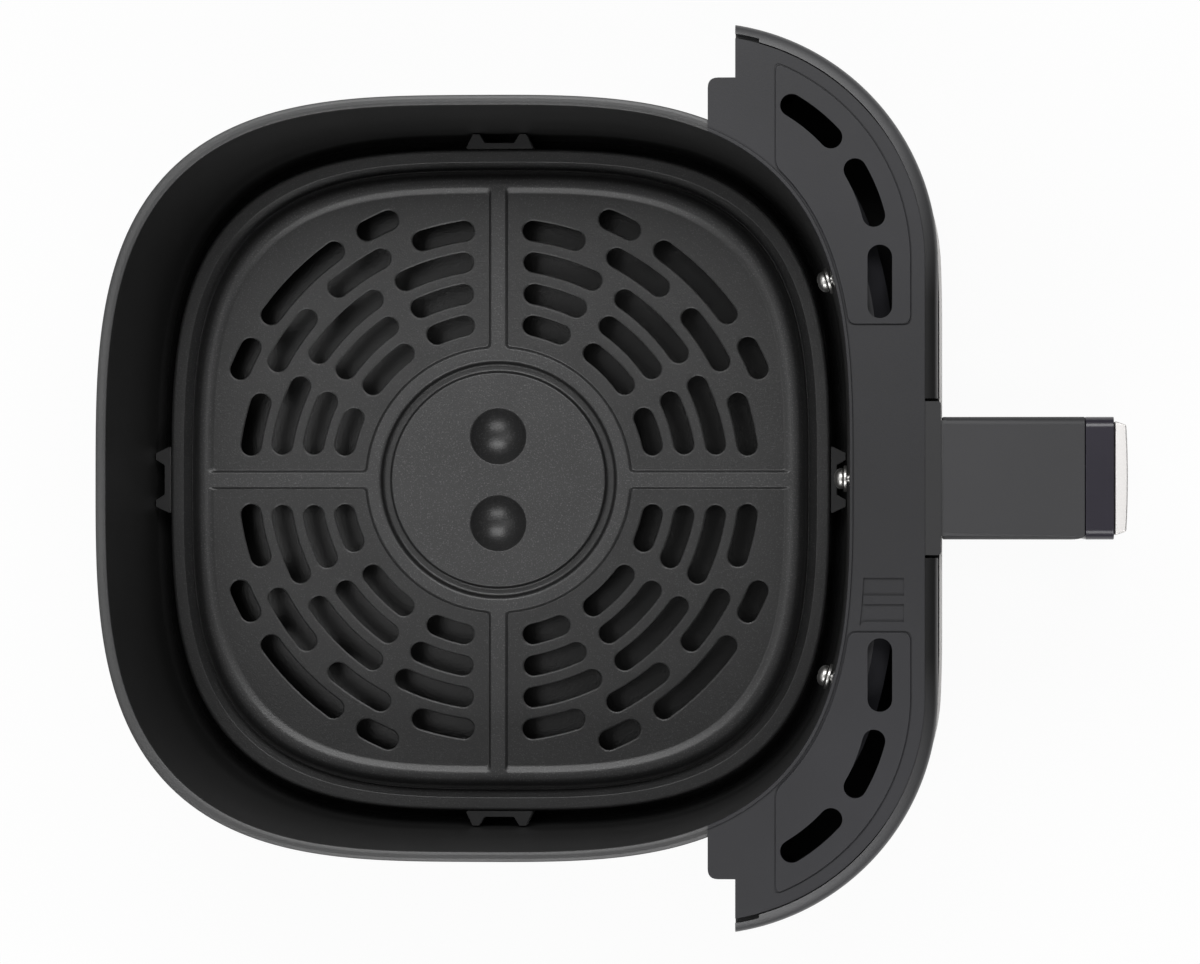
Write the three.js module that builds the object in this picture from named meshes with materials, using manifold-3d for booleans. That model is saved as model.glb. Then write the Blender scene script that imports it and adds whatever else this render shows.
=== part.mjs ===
// Drawer of a basket air fryer: pan, crisper plate on silicone bumpers, front fascia and handle.
// Millimetres. +Z is up, +X points out of the appliance towards the handle.
// The origin is the centre of the pan's flat underside.
import * as THREE from 'three';
import Module from 'manifold-3d';
import { mergeVertices } from 'three/addons/utils/BufferGeometryUtils.js';

const wasm = await Module();
wasm.setup();

// ---- Driving dimensions -------------------------------------------------------------------

const clearance = 0.3; // running and seating gap between neighbouring pieces
const squareness = 3.2; // exponent of the rounded-square outline shared by pan and plate
const edgeBreak = 0.5; // small chamfer on sheet and moulded edges

// pan
const panHeight = 108;
const rimHalf = 118.9; // half width over the rolled rim
const rimWidth = 3.2;
const rimDepth = 3.6;
const panWall = 1.2;
const panDraft = 1.3; // degrees
const floorRadius = 12; // inside radius between floor and wall

// crisper plate
const plateStand = 21.3; // crest of the plate above the pan floor
const plateGap = 5.5; // from the plate's lip to the pan wall
const sheet = 1.2; // thickness of the plate
const lipWidth = 4.2;
const lipDrop = 4; // lip below the crest
const grooveWidth = 1.6;
const grooveDepth = 0.7;
const flankWidth = 3.6;
const crestWidth = 2;
const quadrantDrop = 1.3; // slotted quadrants below the crest
const skirtDepth = 10; // turned-down edge below the lip
const ribWidth = 6.6;
const ribFlank = 0.9;
const discRadius = 35;
const discGrooveWidth = 3.4;
const discGrooveDepth = 3;
const ringWidth = 4.3;
const dimpleRadius = 9.2;
const dimpleDepth = 5.4;
const dimpleOffset = 14.2; // from the plate's centre

// slots of the crisper plate: one list of [angle in degrees, length] per ring, for the eighth of
// the plate next to a rib; a slot at 45 degrees is shared by two eighths
const slotWidth = 6.5;
const slotFirstRadius = 51.6;
const slotPitch = 10.16;
const slotRings = [
  [[17.8, 15.9], [45, 21]],
  [[17.6, 21.1], [45, 26.2]],
  [[17.2, 26.5], [45, 31.5]],
  [[12.8, 20.7], [34, 23.4]],
  [[25.5, 14.4], [45, 35.9]],
];

// silicone bumpers
const bumperWidth = 21.6;
const bumperHeight = 6.4; // height of the outer pad
const bumperClip = 2; // thickness of the tongue inside the skirt
const bumperFootLength = 4;
const bumperFootWidth = 12;
const toothSpread = 15.4; // between the tips of the two teeth
const toothTip = 2.2;
const toothDepth = 2.9;
const toothFlank = 1.8;
const footCurve = [-75, -20]; // degrees of the pan's corner that the foot follows

// fascia
const fasciaDepth = 24; // from the pan's rim to the front face
const fasciaSide = 22.3; // from the pan's rim to the widest point of the corner arcs
const fasciaCorner = 74.2; // radius of the curved corners, seen from above
const wingLength = 62.5; // from the front face to the rear edge of the fascia's wings
const fasciaBottom = 6;
const shellWall = 2.6;
const shellFloor = 2.5;
const panFloorGap = 6; // from the pan's rim, seen from above, to the shell's floor
const shoulderWidth = 4; // rounded top and bottom edges of the shell
const shoulderHeight = 5;

// insert that closes the fascia and hooks over the pan's rim
const insertSheet = 2.5;
const lipThickness = 1.4;
const lipCover = 3.6; // width of the band over the pan's rim
const tongueLength = 8.5; // narrow part of each wing, behind the shell
const tongueSide = 4.9; // from the pan's rim to its outer face
const tongueChamfer = 2.2;
const platformRise = 0.8;
const platformInset = 8.4; // from the fascia's outline
const platformLipGap = 1.4; // from the band over the pan's rim
const platformStart = 12.4; // from the shell's rear edge
const platformEnd = 47.5; // distance of the platform's inner end from the middle
const apronTopGap = 0.5; // between the pan's rim and the insert's hanging apron
const apronFlare = 9; // how far the apron moves outwards on its way down
const apronFlareHeight = 46;
const apronWall = 2;
const postDiameter = 8.4; // hollow posts that the shell's screws go into
const postGap = 0.9; // from a post to the shell's shoulder
const postAngles = [10.5, 68]; // degrees about the corner's centre

// vents: two curved ones per side about the corner's centre, and a straight one
const ventWidth = 7.1;
const ventInset = 18; // of the curved vents' middle line, from the corner's outline
const curvedVents = [[42.8, 58.8], [14.4, 30]]; // degrees, from end centre to end centre
const straightVentWidth = 7.6;
const straightVentInset = 17.9; // from the front face
const straightVentSpan = [53.1, 68.2]; // end centres, from the middle

// pocket for the appliance's door switch, on one side of the middle
const pocketSpan = [-44.3, -30.7];
const pocketInset = 10.5; // from the front face
const pocketLength = 14.7;
const pocketDepth = 1;
const pocketRib = 2.6;
const pocketMouth = 2.2;

// stainless front panel
const panelThickness = 1;
const panelHalf = 83;
const panelBottomEdge = 6; // above the underside of the shell

// handle
const handleHalf = 18.9;
const handleDrop = 1.1; // top of the handle below the top of the fascia
const handleLift = 2; // underside of the handle above the underside of the shell
const rootHalf = 23.7; // block that sits in the notch of the shell
const rootDepth = 5.6;
const rootHeight = 8.6;
const handleBase = 4; // thickness of the plate against the front panel
const fingerDepth = 31;
const fingerRadius = 6;
const upperArm = 17.5;
const lowerArm = 12;
const gripInner = 8.4;
const gripCover = 8.7;
const gripCoverWall = 2.4;
const trimDepth = 4;
const trimChamfer = 2.4;
const bracketThickness = 1.5;
const bracketHalf = 20;

// fasteners
const panScrewDrop = 24; // below the pan's top edge
const panScrewSide = 62.3; // of the two outer screws, from the middle
const screwDiameter = 4;
const screwHead = 6.6;
const screwHeadHeight = 2.2;
const washerDiameter = 8.2;
const washerThickness = 1;
const spacerDiameter = 10;
const spacerThickness = 2;
const bossDiameter = 10;
const shellScrewLength = 14;
const handleScrewSide = 11;
const handleScrewTop = 13.6; // upper screws below the top of the handle
const handleScrewBottom = 8.5; // lower screws above its bottom
const handleScrewLength = 16;
const gripScrewEdge = 24;
const gripScrewLength = 11;

// ---- Derived places -----------------------------------------------------------------------

const tanDraft = Math.tan(THREE.MathUtils.degToRad(panDraft));
const panInner = (z) => rimHalf - rimWidth - (panHeight - z) * tanDraft;
const panCornerTop = panWall + floorRadius; // centre of the corner between floor and wall
const panFlat = panInner(panCornerTop) - floorRadius;
const plateCrest = panWall + plateStand;
const plateLip = plateCrest - lipDrop;
const plateQuadrant = plateCrest - quadrantDrop;
const plateHalf = panInner(plateLip) - plateGap;
const skirtBottom = plateLip - skirtDepth;
const ringOuter = discRadius + discGrooveWidth + ringWidth;
const fasciaReach = rimHalf + fasciaDepth;
const fasciaFlatHalf = rimHalf + fasciaSide - fasciaCorner;
const fasciaBack = fasciaReach - wingLength;
const arcX = fasciaReach - fasciaCorner; // centre of the fascia's corner arcs
const tongueBack = fasciaBack - tongueLength;
const tongueHalf = rimHalf + tongueSide;
const lipBottom = panHeight + clearance;
const fasciaTop = lipBottom + lipThickness;
const insertTop = fasciaTop - platformRise;
const insertBottom = insertTop - insertSheet;
const apronTopHalf = rimHalf + apronTopGap;
const apronBottom = fasciaBottom + shellFloor + clearance;
const insertInset = shoulderWidth + clearance;
const platformBack = fasciaBack + platformStart;
const ventRadius = fasciaCorner - ventInset;
const straightVentX = fasciaReach - straightVentInset;
const pocketFront = fasciaReach - pocketInset;
const pocketBack = pocketFront - pocketLength;
const handleTop = fasciaTop - handleDrop;
const handleBottom = fasciaBottom + handleLift;
const panelTop = handleTop - rootHeight - 2 * clearance;
const panelBottom = fasciaBottom + panelBottomEdge;
const panScrewHeight = panHeight - panScrewDrop;
const panelFace = fasciaReach + clearance + panelThickness;
const handleFace = panelFace + clearance;
const gripFace = handleFace + handleBase + fingerDepth + gripInner;
const coverFace = gripFace + clearance + gripCover;
const trimFace = coverFace + clearance + trimDepth;
const holeDiameter = screwDiameter + 2 * clearance;
const farOut = 200; // reach of cutting blocks
const past = 1; // how far a joined or cutting solid runs past the face that it meets

// ---- Solids -------------------------------------------------------------------------------

// closed geometry to solid: shared corners merged, collapsed triangles at poles left out
function toSolid(geometry) {
  const plain = geometry.clone();
  plain.deleteAttribute('normal');
  plain.deleteAttribute('uv');
  const welded = mergeVertices(plain, 1e-4);
  const index = welded.index.array;
  const kept = [];
  for (let i = 0; i < index.length; i += 3) {
    const [a, b, c] = index.slice(i, i + 3);
    if (a !== b && b !== c && c !== a) {
      kept.push(a, b, c);
    }
  }
  return new wasm.Manifold(new wasm.Mesh({
    numProp: 3,
    vertProperties: new Float32Array(welded.attributes.position.array),
    triVerts: new Uint32Array(kept),
  }));
}

function toGeometry(solid) {
  const { vertProperties, triVerts } = solid.getMesh();
  const geometry = new THREE.BufferGeometry();
  geometry.setAttribute('position', new THREE.BufferAttribute(vertProperties, 3));
  geometry.setIndex(new THREE.BufferAttribute(triVerts, 1));
  return geometry;
}

const joined = (solids) => solids.reduce((whole, solid) => whole.add(solid));
const cut = (solid, ...tools) => tools.reduce((left, tool) => left.subtract(tool), solid);

function box([x0, x1], [y0, y1], [z0, z1]) {
  const geometry = new THREE.BoxGeometry(x1 - x0, y1 - y0, z1 - z0);
  geometry.translate((x0 + x1) / 2, (y0 + y1) / 2, (z0 + z1) / 2);
  return toSolid(geometry);
}

function extruded(shape, z0, z1, curveSegments = 7, bevel = {}) {
  const settings = { depth: z1 - z0, curveSegments, bevelEnabled: false, ...bevel };
  const geometry = new THREE.ExtrudeGeometry(shape, settings);
  geometry.translate(0, 0, z0);
  return toSolid(geometry);
}

// turned about +Z from a profile of [radius, height], given in either direction
function turned(profile, segments = 16) {
  const points = profile.map(([r, z]) => new THREE.Vector2(r, z));
  if (THREE.ShapeUtils.area(points) < 0) {
    points.reverse();
  }
  const geometry = new THREE.LatheGeometry(points, segments);
  geometry.rotateX(Math.PI / 2);
  return geometry;
}

// a turned profile pressed into the rounded-square outline of the pan and plate
function squared(profile, segments = 64) {
  const geometry = turned(profile, segments);
  const place = geometry.attributes.position;
  for (let i = 0; i < place.count; i++) {
    const angle = Math.atan2(place.getY(i), place.getX(i));
    const c = Math.abs(Math.cos(angle)) ** squareness;
    const s = Math.abs(Math.sin(angle)) ** squareness;
    const reach = (c + s) ** (-1 / squareness);
    place.setXY(i, place.getX(i) * reach, place.getY(i) * reach);
  }
  return toSolid(geometry);
}

const squarePrism = (half, z0, z1) => squared([[0, z0], [half, z0], [half, z1], [0, z1]]);

function squareRing(inner, outer, z0, z1) {
  return squared([[inner, z0], [outer, z0], [outer, z1], [inner, z1], [inner, z0]]);
}

// rod along +Z between two heights, or along +X when it lies
function rod(diameter, z0, z1, segments = 12) {
  const r = diameter / 2;
  return toSolid(turned([[0, z0], [r, z0], [r, z1], [0, z1]], segments));
}

const lying = (solid) => solid.rotate([0, 90, 0]);
const mirrored = (solid) => [solid, solid.mirror([0, 1, 0])];

function quarterArc(cx, cz, r, from, to, steps) {
  const points = [];
  for (let i = 0; i <= steps; i++) {
    const angle = THREE.MathUtils.degToRad(from + ((to - from) * i) / steps);
    points.push([cx + r * Math.cos(angle), cz + r * Math.sin(angle)]);
  }
  return points;
}

// the fascia seen from above: straight front, two corner arcs, open at the back
function fasciaShape(inset, back) {
  const r = fasciaCorner - inset;
  const end = Math.acos((back - arcX) / r);
  const shape = new THREE.Shape();
  shape.absarc(arcX, -fasciaFlatHalf, r, -end, 0, false);
  shape.absarc(arcX, fasciaFlatHalf, r, 0, end, false);
  shape.closePath();
  return shape;
}

function polygon(points) {
  return new THREE.Shape(points.map(([x, y]) => new THREE.Vector2(x, y)));
}

// slot with round ends along an arc about (cx, cy), angles in radians between end centres
function arcSlot(cx, cy, radius, from, to, width, sideSteps = 2, endSteps = 4) {
  const w = width / 2;
  const points = [];
  const along = (x, y, r, start, end, steps) => {
    for (let i = 0; i < steps; i++) {
      const angle = start + ((end - start) * i) / steps;
      points.push([x + r * Math.cos(angle), y + r * Math.sin(angle)]);
    }
  };
  const endCentre = (angle) => [cx + radius * Math.cos(angle), cy + radius * Math.sin(angle)];
  along(cx, cy, radius + w, from, to, sideSteps);
  along(...endCentre(to), w, to, to + Math.PI, endSteps);
  along(cx, cy, radius - w, to, from, sideSteps);
  along(...endCentre(from), w, from + Math.PI, from + 2 * Math.PI, endSteps);
  return polygon(points);
}

// ---- Pan ----------------------------------------------------------------------------------

const panScrews = [0, 1, -1].map((side) => {
  const half = panInner(panScrewHeight);
  const y = side * panScrewSide;
  const x = half * (1 - (Math.abs(y) / half) ** squareness) ** (1 / squareness);
  const nx = (x / half) ** (squareness - 1);
  const ny = Math.sign(y) * (Math.abs(y) / half) ** (squareness - 1);
  return { x, y, turn: THREE.MathUtils.radToDeg(Math.atan2(ny, nx)) };
});

// puts a solid, made along +Z from the pan's inner wall outwards, on each pan screw's axis
const atPanScrew = (solid, { x, y, turn }) =>
  lying(solid).rotate([0, 0, turn]).translate([x, y, panScrewHeight]);

function makePan() {
  const rimInner = rimHalf - rimWidth;
  const under = panHeight - rimDepth;
  const round = rimWidth / 4;
  const body = squared([
    [0, panWall],
    ...quarterArc(panFlat, panCornerTop, floorRadius, -90, 0, 6),
    [rimInner, panHeight - round],
    [rimInner + round, panHeight],
    [rimHalf - round, panHeight],
    [rimHalf, panHeight - round],
    [rimHalf, under],
    [panInner(under) + panWall, under],
    ...quarterArc(panFlat, panCornerTop, floorRadius + panWall, 0, -90, 6),
    [0, 0],
  ]);
  const hole = rod(holeDiameter, -floorRadius, floorRadius);
  return cut(body, ...panScrews.map((screw) => atPanScrew(hole, screw)));
}

// ---- Crisper plate ------------------------------------------------------------------------

function plateSlots() {
  const shapes = [];
  slotRings.forEach((ring, i) => {
    const radius = slotFirstRadius + i * slotPitch;
    for (const [angle, length] of ring) {
      const half = (length - slotWidth) / 2 / radius;
      const pair = angle === 45 ? [45] : [angle, 90 - angle];
      for (let quarter = 0; quarter < 4; quarter++) {
        for (const degrees of pair) {
          const middle = THREE.MathUtils.degToRad(degrees + 90 * quarter);
          shapes.push(arcSlot(0, 0, radius, middle - half, middle + half, slotWidth));
        }
      }
    }
  });
  return extruded(shapes, plateQuadrant - 2 * sheet, plateCrest);
}

function makeCrisperPlate() {
  const edges = [0, lipWidth, grooveWidth, flankWidth, crestWidth].map((_, i, widths) =>
    plateHalf - widths.slice(0, i + 1).reduce((sum, width) => sum + width));
  const [outer, lipInner, grooveInner, crestOuter, crestInner] = edges;
  const quadrant = crestInner - ribFlank;
  const floor = squared([
    [0, plateQuadrant - sheet],
    [quadrant, plateQuadrant - sheet],
    [crestInner, plateCrest - sheet],
    [crestOuter, plateCrest - sheet],
    [grooveInner, plateLip - grooveDepth - sheet],
    [lipInner - edgeBreak, plateLip - grooveDepth - sheet],
    [lipInner, plateLip - sheet],
    [outer - sheet, plateLip - sheet],
    [outer - sheet, skirtBottom],
    [outer, skirtBottom],
    [outer, plateLip - edgeBreak],
    [outer - edgeBreak, plateLip],
    [lipInner, plateLip],
    [lipInner - edgeBreak, plateLip - grooveDepth],
    [grooveInner, plateLip - grooveDepth],
    [crestOuter, plateCrest],
    [crestInner, plateCrest],
    [quadrant, plateQuadrant],
    [0, plateQuadrant],
  ]);

  const ringInner = discRadius + discGrooveWidth;
  const grooveTop = plateCrest - discGrooveDepth;
  const middle = toSolid(turned([
    [0, plateCrest - sheet],
    [discRadius - sheet, plateCrest - sheet],
    [discRadius - sheet, grooveTop - sheet],
    [ringInner + sheet, grooveTop - sheet],
    [ringInner + sheet, plateQuadrant - sheet],
    [ringOuter + past, plateQuadrant - sheet],
    [ringOuter + past, plateQuadrant],
    [ringOuter, plateCrest],
    [ringInner + edgeBreak, plateCrest],
    [ringInner, grooveTop],
    [discRadius, grooveTop],
    [discRadius, plateCrest - edgeBreak],
    [discRadius - edgeBreak, plateCrest],
    [0, plateCrest],
  ], 32));

  const r = ribWidth / 2;
  const section = polygon([
    [-r - ribFlank, plateQuadrant],
    [-r - ribFlank, plateQuadrant - sheet],
    [r + ribFlank, plateQuadrant - sheet],
    [r + ribFlank, plateQuadrant],
    [r, plateCrest],
    [-r, plateCrest],
  ]);
  const ribStart = ringOuter - ringWidth / 2;
  const rib = extruded(section, ribStart, (crestOuter + crestInner) / 2).rotate([90, 0, 90]);
  const ribs = [0, 90, 180, 270].map((turn) => rib.rotate([0, 0, turn]));

  const bowlRadius = (dimpleRadius ** 2 + dimpleDepth ** 2) / (2 * dimpleDepth);
  const bowlHeight = plateCrest + bowlRadius - dimpleDepth;
  const bowl = (radius) => {
    const rise = Math.min(plateCrest + past - bowlHeight, 0);
    const end = THREE.MathUtils.radToDeg(Math.asin(rise / radius));
    const arc = quarterArc(0, bowlHeight, radius, -90, end, 4);
    arc[0][0] = 0;
    return toSolid(turned([...arc, [0, arc.at(-1)[1]]], 16));
  };
  const under = bowl(bowlRadius + sheet).subtract(
    rod(4 * bowlRadius, plateCrest, plateCrest + 4 * bowlRadius));
  const bowlPlaces = [dimpleOffset, -dimpleOffset];
  const placed = (solid) => bowlPlaces.map((y) => solid.translate([0, y, 0]));

  const opening = rod(2 * ringOuter, 0, 2 * plateCrest, 32);
  const plate = joined([floor.subtract(opening), middle, ...ribs, ...placed(under)]);
  return cut(plate, ...placed(bowl(bowlRadius)), plateSlots());
}

// ---- Bumpers ------------------------------------------------------------------------------

// made at the plate's +X side; the others are turned copies
function makeBumper() {
  const reach = panInner(plateLip - bumperHeight) - clearance;
  const skirtOuter = plateHalf + clearance;
  const skirtInner = plateHalf - sheet - clearance;
  const clipInner = skirtInner - bumperClip;
  const footStart = panFlat - bumperFootLength;
  const footBottom = panWall + clearance;
  const padBottom = plateLip - bumperHeight;
  const seat = skirtBottom - clearance;
  const lift = (seat - footBottom) / 2;
  const top = plateLip - edgeBreak;
  const side = polygon([
    [footStart, footBottom],
    [panFlat, footBottom],
    ...quarterArc(panFlat, panCornerTop, floorRadius - 2 * clearance, ...footCurve, 3),
    [reach, padBottom],
    [reach, top],
    [skirtOuter, top],
    [skirtOuter, seat],
    [skirtInner, seat],
    [skirtInner, plateLip - sheet - grooveDepth - clearance],
    [clipInner, plateLip - sheet - grooveDepth - clearance],
    [clipInner, footBottom + lift + past],
    [footStart, footBottom + lift],
  ]);
  const w = bumperWidth / 2;
  const tip = toothSpread / 2 + toothTip / 2;
  const inner = toothSpread / 2 - toothTip / 2;
  const foot = bumperFootWidth / 2;
  const outline = [
    [footStart, foot],
    [footStart, -foot],
    [clipInner - edgeBreak, -foot],
    [clipInner - edgeBreak, -w],
    [skirtOuter + edgeBreak, -w],
    [reach, -tip],
    [reach, -inner],
    [reach - toothDepth, -inner + toothFlank],
    [reach - toothDepth, inner - toothFlank],
    [reach, inner],
    [reach, tip],
    [skirtOuter + edgeBreak, w],
    [clipInner - edgeBreak, w],
    [clipInner - edgeBreak, foot],
  ];
  const plan = extruded(polygon(outline), 0, plateCrest);
  const band = extruded(side, -bumperWidth, bumperWidth).rotate([90, 0, 0]);
  return plan.intersect(band);
}

// ---- Fascia -------------------------------------------------------------------------------

const postRadius = fasciaCorner - shoulderWidth - postGap - postDiameter / 2;
const shellScrewPlaces = postAngles.flatMap((degrees) => {
  const angle = THREE.MathUtils.degToRad(degrees);
  const x = arcX + postRadius * Math.cos(angle);
  const y = fasciaFlatHalf + postRadius * Math.sin(angle);
  return [[x, y], [x, -y]];
});
const handleScrewHeights = [handleTop - handleScrewTop, handleBottom + handleScrewBottom];
const handleScrewPlaces = handleScrewHeights.flatMap((z) => [[handleScrewSide, z], [-handleScrewSide, z]]);

const lyingAt = (solid, [y, z]) => lying(solid).translate([0, y, z]);

function makeFasciaShell() {
  const rounded = {
    bevelEnabled: true,
    bevelThickness: shoulderHeight,
    bevelSize: shoulderWidth,
    bevelSegments: 3,
  };
  const low = fasciaBottom + shoulderHeight;
  const high = fasciaTop - shoulderHeight;
  const outer = extruded(fasciaShape(shoulderWidth, tongueBack), low, high, 7, rounded);
  const floorTop = fasciaBottom + shellFloor;
  const cavity = extruded(fasciaShape(shellWall, arcX), floorTop, high);
  const opening = extruded(fasciaShape(shoulderWidth, arcX), high - past, fasciaTop + past);
  const behind = box([0, fasciaBack], [-farOut, farOut], [-past, farOut]);
  const panRoom = squarePrism(rimHalf + panFloorGap, -past, floorTop + past);
  const notchSide = rootHalf + clearance;
  const notch = box(
    [handleFace - rootDepth - clearance, farOut],
    [-notchSide, notchSide],
    [handleTop - rootHeight - clearance, farOut],
  );
  const floorHole = rod(holeDiameter, 0, floorTop + past);
  const frontHole = rod(holeDiameter, fasciaReach - 2 * shellWall, farOut);
  return cut(
    outer,
    cavity,
    opening,
    behind,
    panRoom,
    notch,
    ...shellScrewPlaces.map(([x, y]) => floorHole.translate([x, y, 0])),
    ...handleScrewPlaces.map((place) => lyingAt(frontHole, place)),
  );
}

function makeFrontPanel() {
  const ring = extruded(fasciaShape(-clearance - panelThickness, fasciaBack), panelBottom, panelTop)
    .subtract(extruded(fasciaShape(-clearance, fasciaBack), 0, farOut));
  const span = box([fasciaBack, farOut], [-panelHalf, panelHalf], [0, farOut]);
  const hole = rod(holeDiameter, fasciaBack, farOut);
  return cut(ring.intersect(span), ...handleScrewPlaces.map((place) => lyingAt(hole, place)));
}

function insertOutline() {
  const wide = extruded(fasciaShape(insertInset, fasciaBack), 0, farOut);
  const c = tongueChamfer;
  const tongue = extruded(polygon([
    [tongueBack, -tongueHalf + c],
    [tongueBack + c, -tongueHalf],
    [fasciaBack + past, -tongueHalf],
    [fasciaBack + past, tongueHalf],
    [tongueBack + c, tongueHalf],
    [tongueBack, tongueHalf - c],
  ]), 0, farOut);
  return wide.add(tongue).subtract(squarePrism(apronTopHalf, -past, farOut + past));
}

function makeApron() {
  const low = insertTop - apronFlareHeight;
  const wide = apronTopHalf + apronFlare;
  return squared([
    [apronTopHalf, insertTop - past],
    [wide, low],
    [wide, apronBottom],
    [wide + apronWall, apronBottom],
    [wide + apronWall, low],
    [apronTopHalf + apronWall, insertTop - past],
    [apronTopHalf, insertTop - past],
  ]);
}

// platforms carry the vents; they end in rounded corners either side of the middle
function makePlatform() {
  const inner = apronTopHalf + platformLipGap;
  const raised = extruded(fasciaShape(platformInset, platformBack), insertTop - past, fasciaTop)
    .subtract(squarePrism(inner, 0, farOut));
  const side = box([platformBack, farOut], [platformEnd, farOut], [0, farOut]);
  return raised.intersect(side);
}

function makeVents() {
  const toRadians = THREE.MathUtils.degToRad;
  const shapes = curvedVents.map(([from, to]) =>
    arcSlot(arcX, fasciaFlatHalf, ventRadius, toRadians(from), toRadians(to), ventWidth, 4, 6));
  const w = straightVentWidth / 2;
  const [near, far] = straightVentSpan;
  const straight = new THREE.Shape();
  straight.absarc(straightVentX, far, w, 0, Math.PI, false);
  straight.absarc(straightVentX, near, w, Math.PI, 2 * Math.PI, false);
  return extruded([...shapes, straight], insertBottom - past, fasciaTop + past, 3);
}

function makeFasciaInsert() {
  const outline = insertOutline();
  const plate = outline.intersect(box([0, farOut], [-farOut, farOut], [insertBottom, insertTop]));
  const beyond = box([tongueBack, farOut], [-farOut, farOut], [0, farOut]);
  const lip = squareRing(rimHalf - rimWidth, rimHalf - rimWidth + lipCover + past, lipBottom,
    lipBottom + lipThickness).intersect(beyond);
  const apron = makeApron().intersect(outline);

  const wallHeights = [apronBottom, insertTop - past];
  const step = tongueHalf - apronWall;
  const outerWall = box([fasciaBack, fasciaBack + apronWall], [step, farOut], wallHeights);
  const stepWall = box([tongueBack, fasciaBack + past], [step, tongueHalf], wallHeights);
  const innerWall = box([tongueBack, tongueBack + apronWall], [0, tongueHalf], wallHeights);
  const walls = joined([outerWall, stepWall, innerWall]).intersect(outline);

  const bossStart = panWall + 2 * clearance + spacerThickness;
  const bossRoom = squarePrism(apronTopHalf + apronFlare + apronWall / 2, 0, farOut);
  const bosses = panScrews.map((screw) =>
    atPanScrew(rod(bossDiameter, bossStart, floorRadius), screw).intersect(bossRoom));
  const posts = shellScrewPlaces.map(([x, y]) =>
    rod(postDiameter, apronBottom, insertTop - past).translate([x, y, 0]));

  const [pocketLow, pocketHigh] = pocketSpan;
  const pocketFloor = insertTop - pocketDepth;
  const pocketMiddle = (pocketLow + pocketHigh) / 2;
  const pocket = extruded(polygon([
    [pocketBack, pocketLow - pocketMouth],
    [pocketBack + pocketMouth, pocketLow],
    [pocketFront, pocketLow],
    [pocketFront, pocketHigh],
    [pocketBack + pocketMouth, pocketHigh],
    [pocketBack, pocketHigh + pocketMouth],
  ]), pocketFloor, farOut);
  const rib = box(
    [pocketBack + pocketMouth, pocketFront + past],
    [pocketMiddle - pocketRib / 2, pocketMiddle + pocketRib / 2],
    [pocketFloor - past, insertTop],
  );
  const pocketRoom = pocket.subtract(squarePrism(apronTopHalf + apronWall / 2, 0, farOut));

  const whole = joined([
    plate, lip, apron, ...mirrored(walls), ...mirrored(makePlatform()), ...bosses, ...posts]);
  const panHole = rod(holeDiameter, -floorRadius, 2 * floorRadius);
  const postHole = rod(holeDiameter, 0, fasciaBottom + shellScrewLength + past);
  return cut(
    whole,
    ...mirrored(makeVents()),
    pocketRoom,
    ...panScrews.map((screw) => atPanScrew(panHole, screw)),
    ...shellScrewPlaces.map(([x, y]) => postHole.translate([x, y, 0])),
  ).add(rib);
}

// ---- Handle -------------------------------------------------------------------------------

const gripScrewHeights = [handleTop - gripScrewEdge, handleBottom + gripScrewEdge];
const trimPegPlaces = [handleBottom + lowerArm, (handleBottom + handleTop) / 2, handleTop - lowerArm]
  .map((z) => [0, z]);

function makeHandleBracket() {
  const front = fasciaReach - shellWall - clearance;
  const plate = box(
    [front - bracketThickness, front],
    [-bracketHalf, bracketHalf],
    [handleBottom + clearance, handleTop - rootHeight - clearance],
  );
  const low = box([0, farOut], [-farOut, farOut], [0, apronBottom]);
  const hole = rod(holeDiameter, 0, farOut);
  return cut(plate, low, ...handleScrewPlaces.map((place) => lyingAt(hole, place)));
}

function makeHandleBody() {
  const outer = polygon([
    [handleFace, handleBottom + edgeBreak],
    [handleFace + edgeBreak, handleBottom],
    [gripFace, handleBottom],
    [gripFace, handleTop],
    [handleFace, handleTop],
  ]);
  const open = new THREE.Path();
  const back = handleFace + handleBase;
  const front = back + fingerDepth;
  const low = handleBottom + lowerArm;
  const high = handleTop - upperArm;
  const r = fingerRadius;
  open.moveTo(back + r, low);
  open.absarc(front - r, low + r, r, -Math.PI / 2, 0, false);
  open.absarc(front - r, high - r, r, 0, Math.PI / 2, false);
  open.absarc(back + r, high - r, r, Math.PI / 2, Math.PI, false);
  open.absarc(back + r, low + r, r, Math.PI, 1.5 * Math.PI, false);
  outer.holes.push(open);
  const loop = extruded(outer, -handleHalf, handleHalf, 2).rotate([90, 0, 0]);
  const root = box(
    [handleFace - rootDepth, handleFace + past],
    [-rootHalf, rootHalf],
    [handleTop - rootHeight, handleTop],
  );
  const screwHole = rod(holeDiameter, handleFace - past, handleFace + handleScrewLength);
  const gripHole = rod(holeDiameter, front - past, gripFace + past);
  const headHole = rod(screwHead + 2 * clearance, front - past, front + screwHeadHeight + clearance);
  return cut(
    loop.add(root),
    ...handleScrewPlaces.map((place) => lyingAt(screwHole, place)),
    ...gripScrewHeights.flatMap((z) => [lyingAt(gripHole, [0, z]), lyingAt(headHole, [0, z])]),
  );
}

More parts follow.
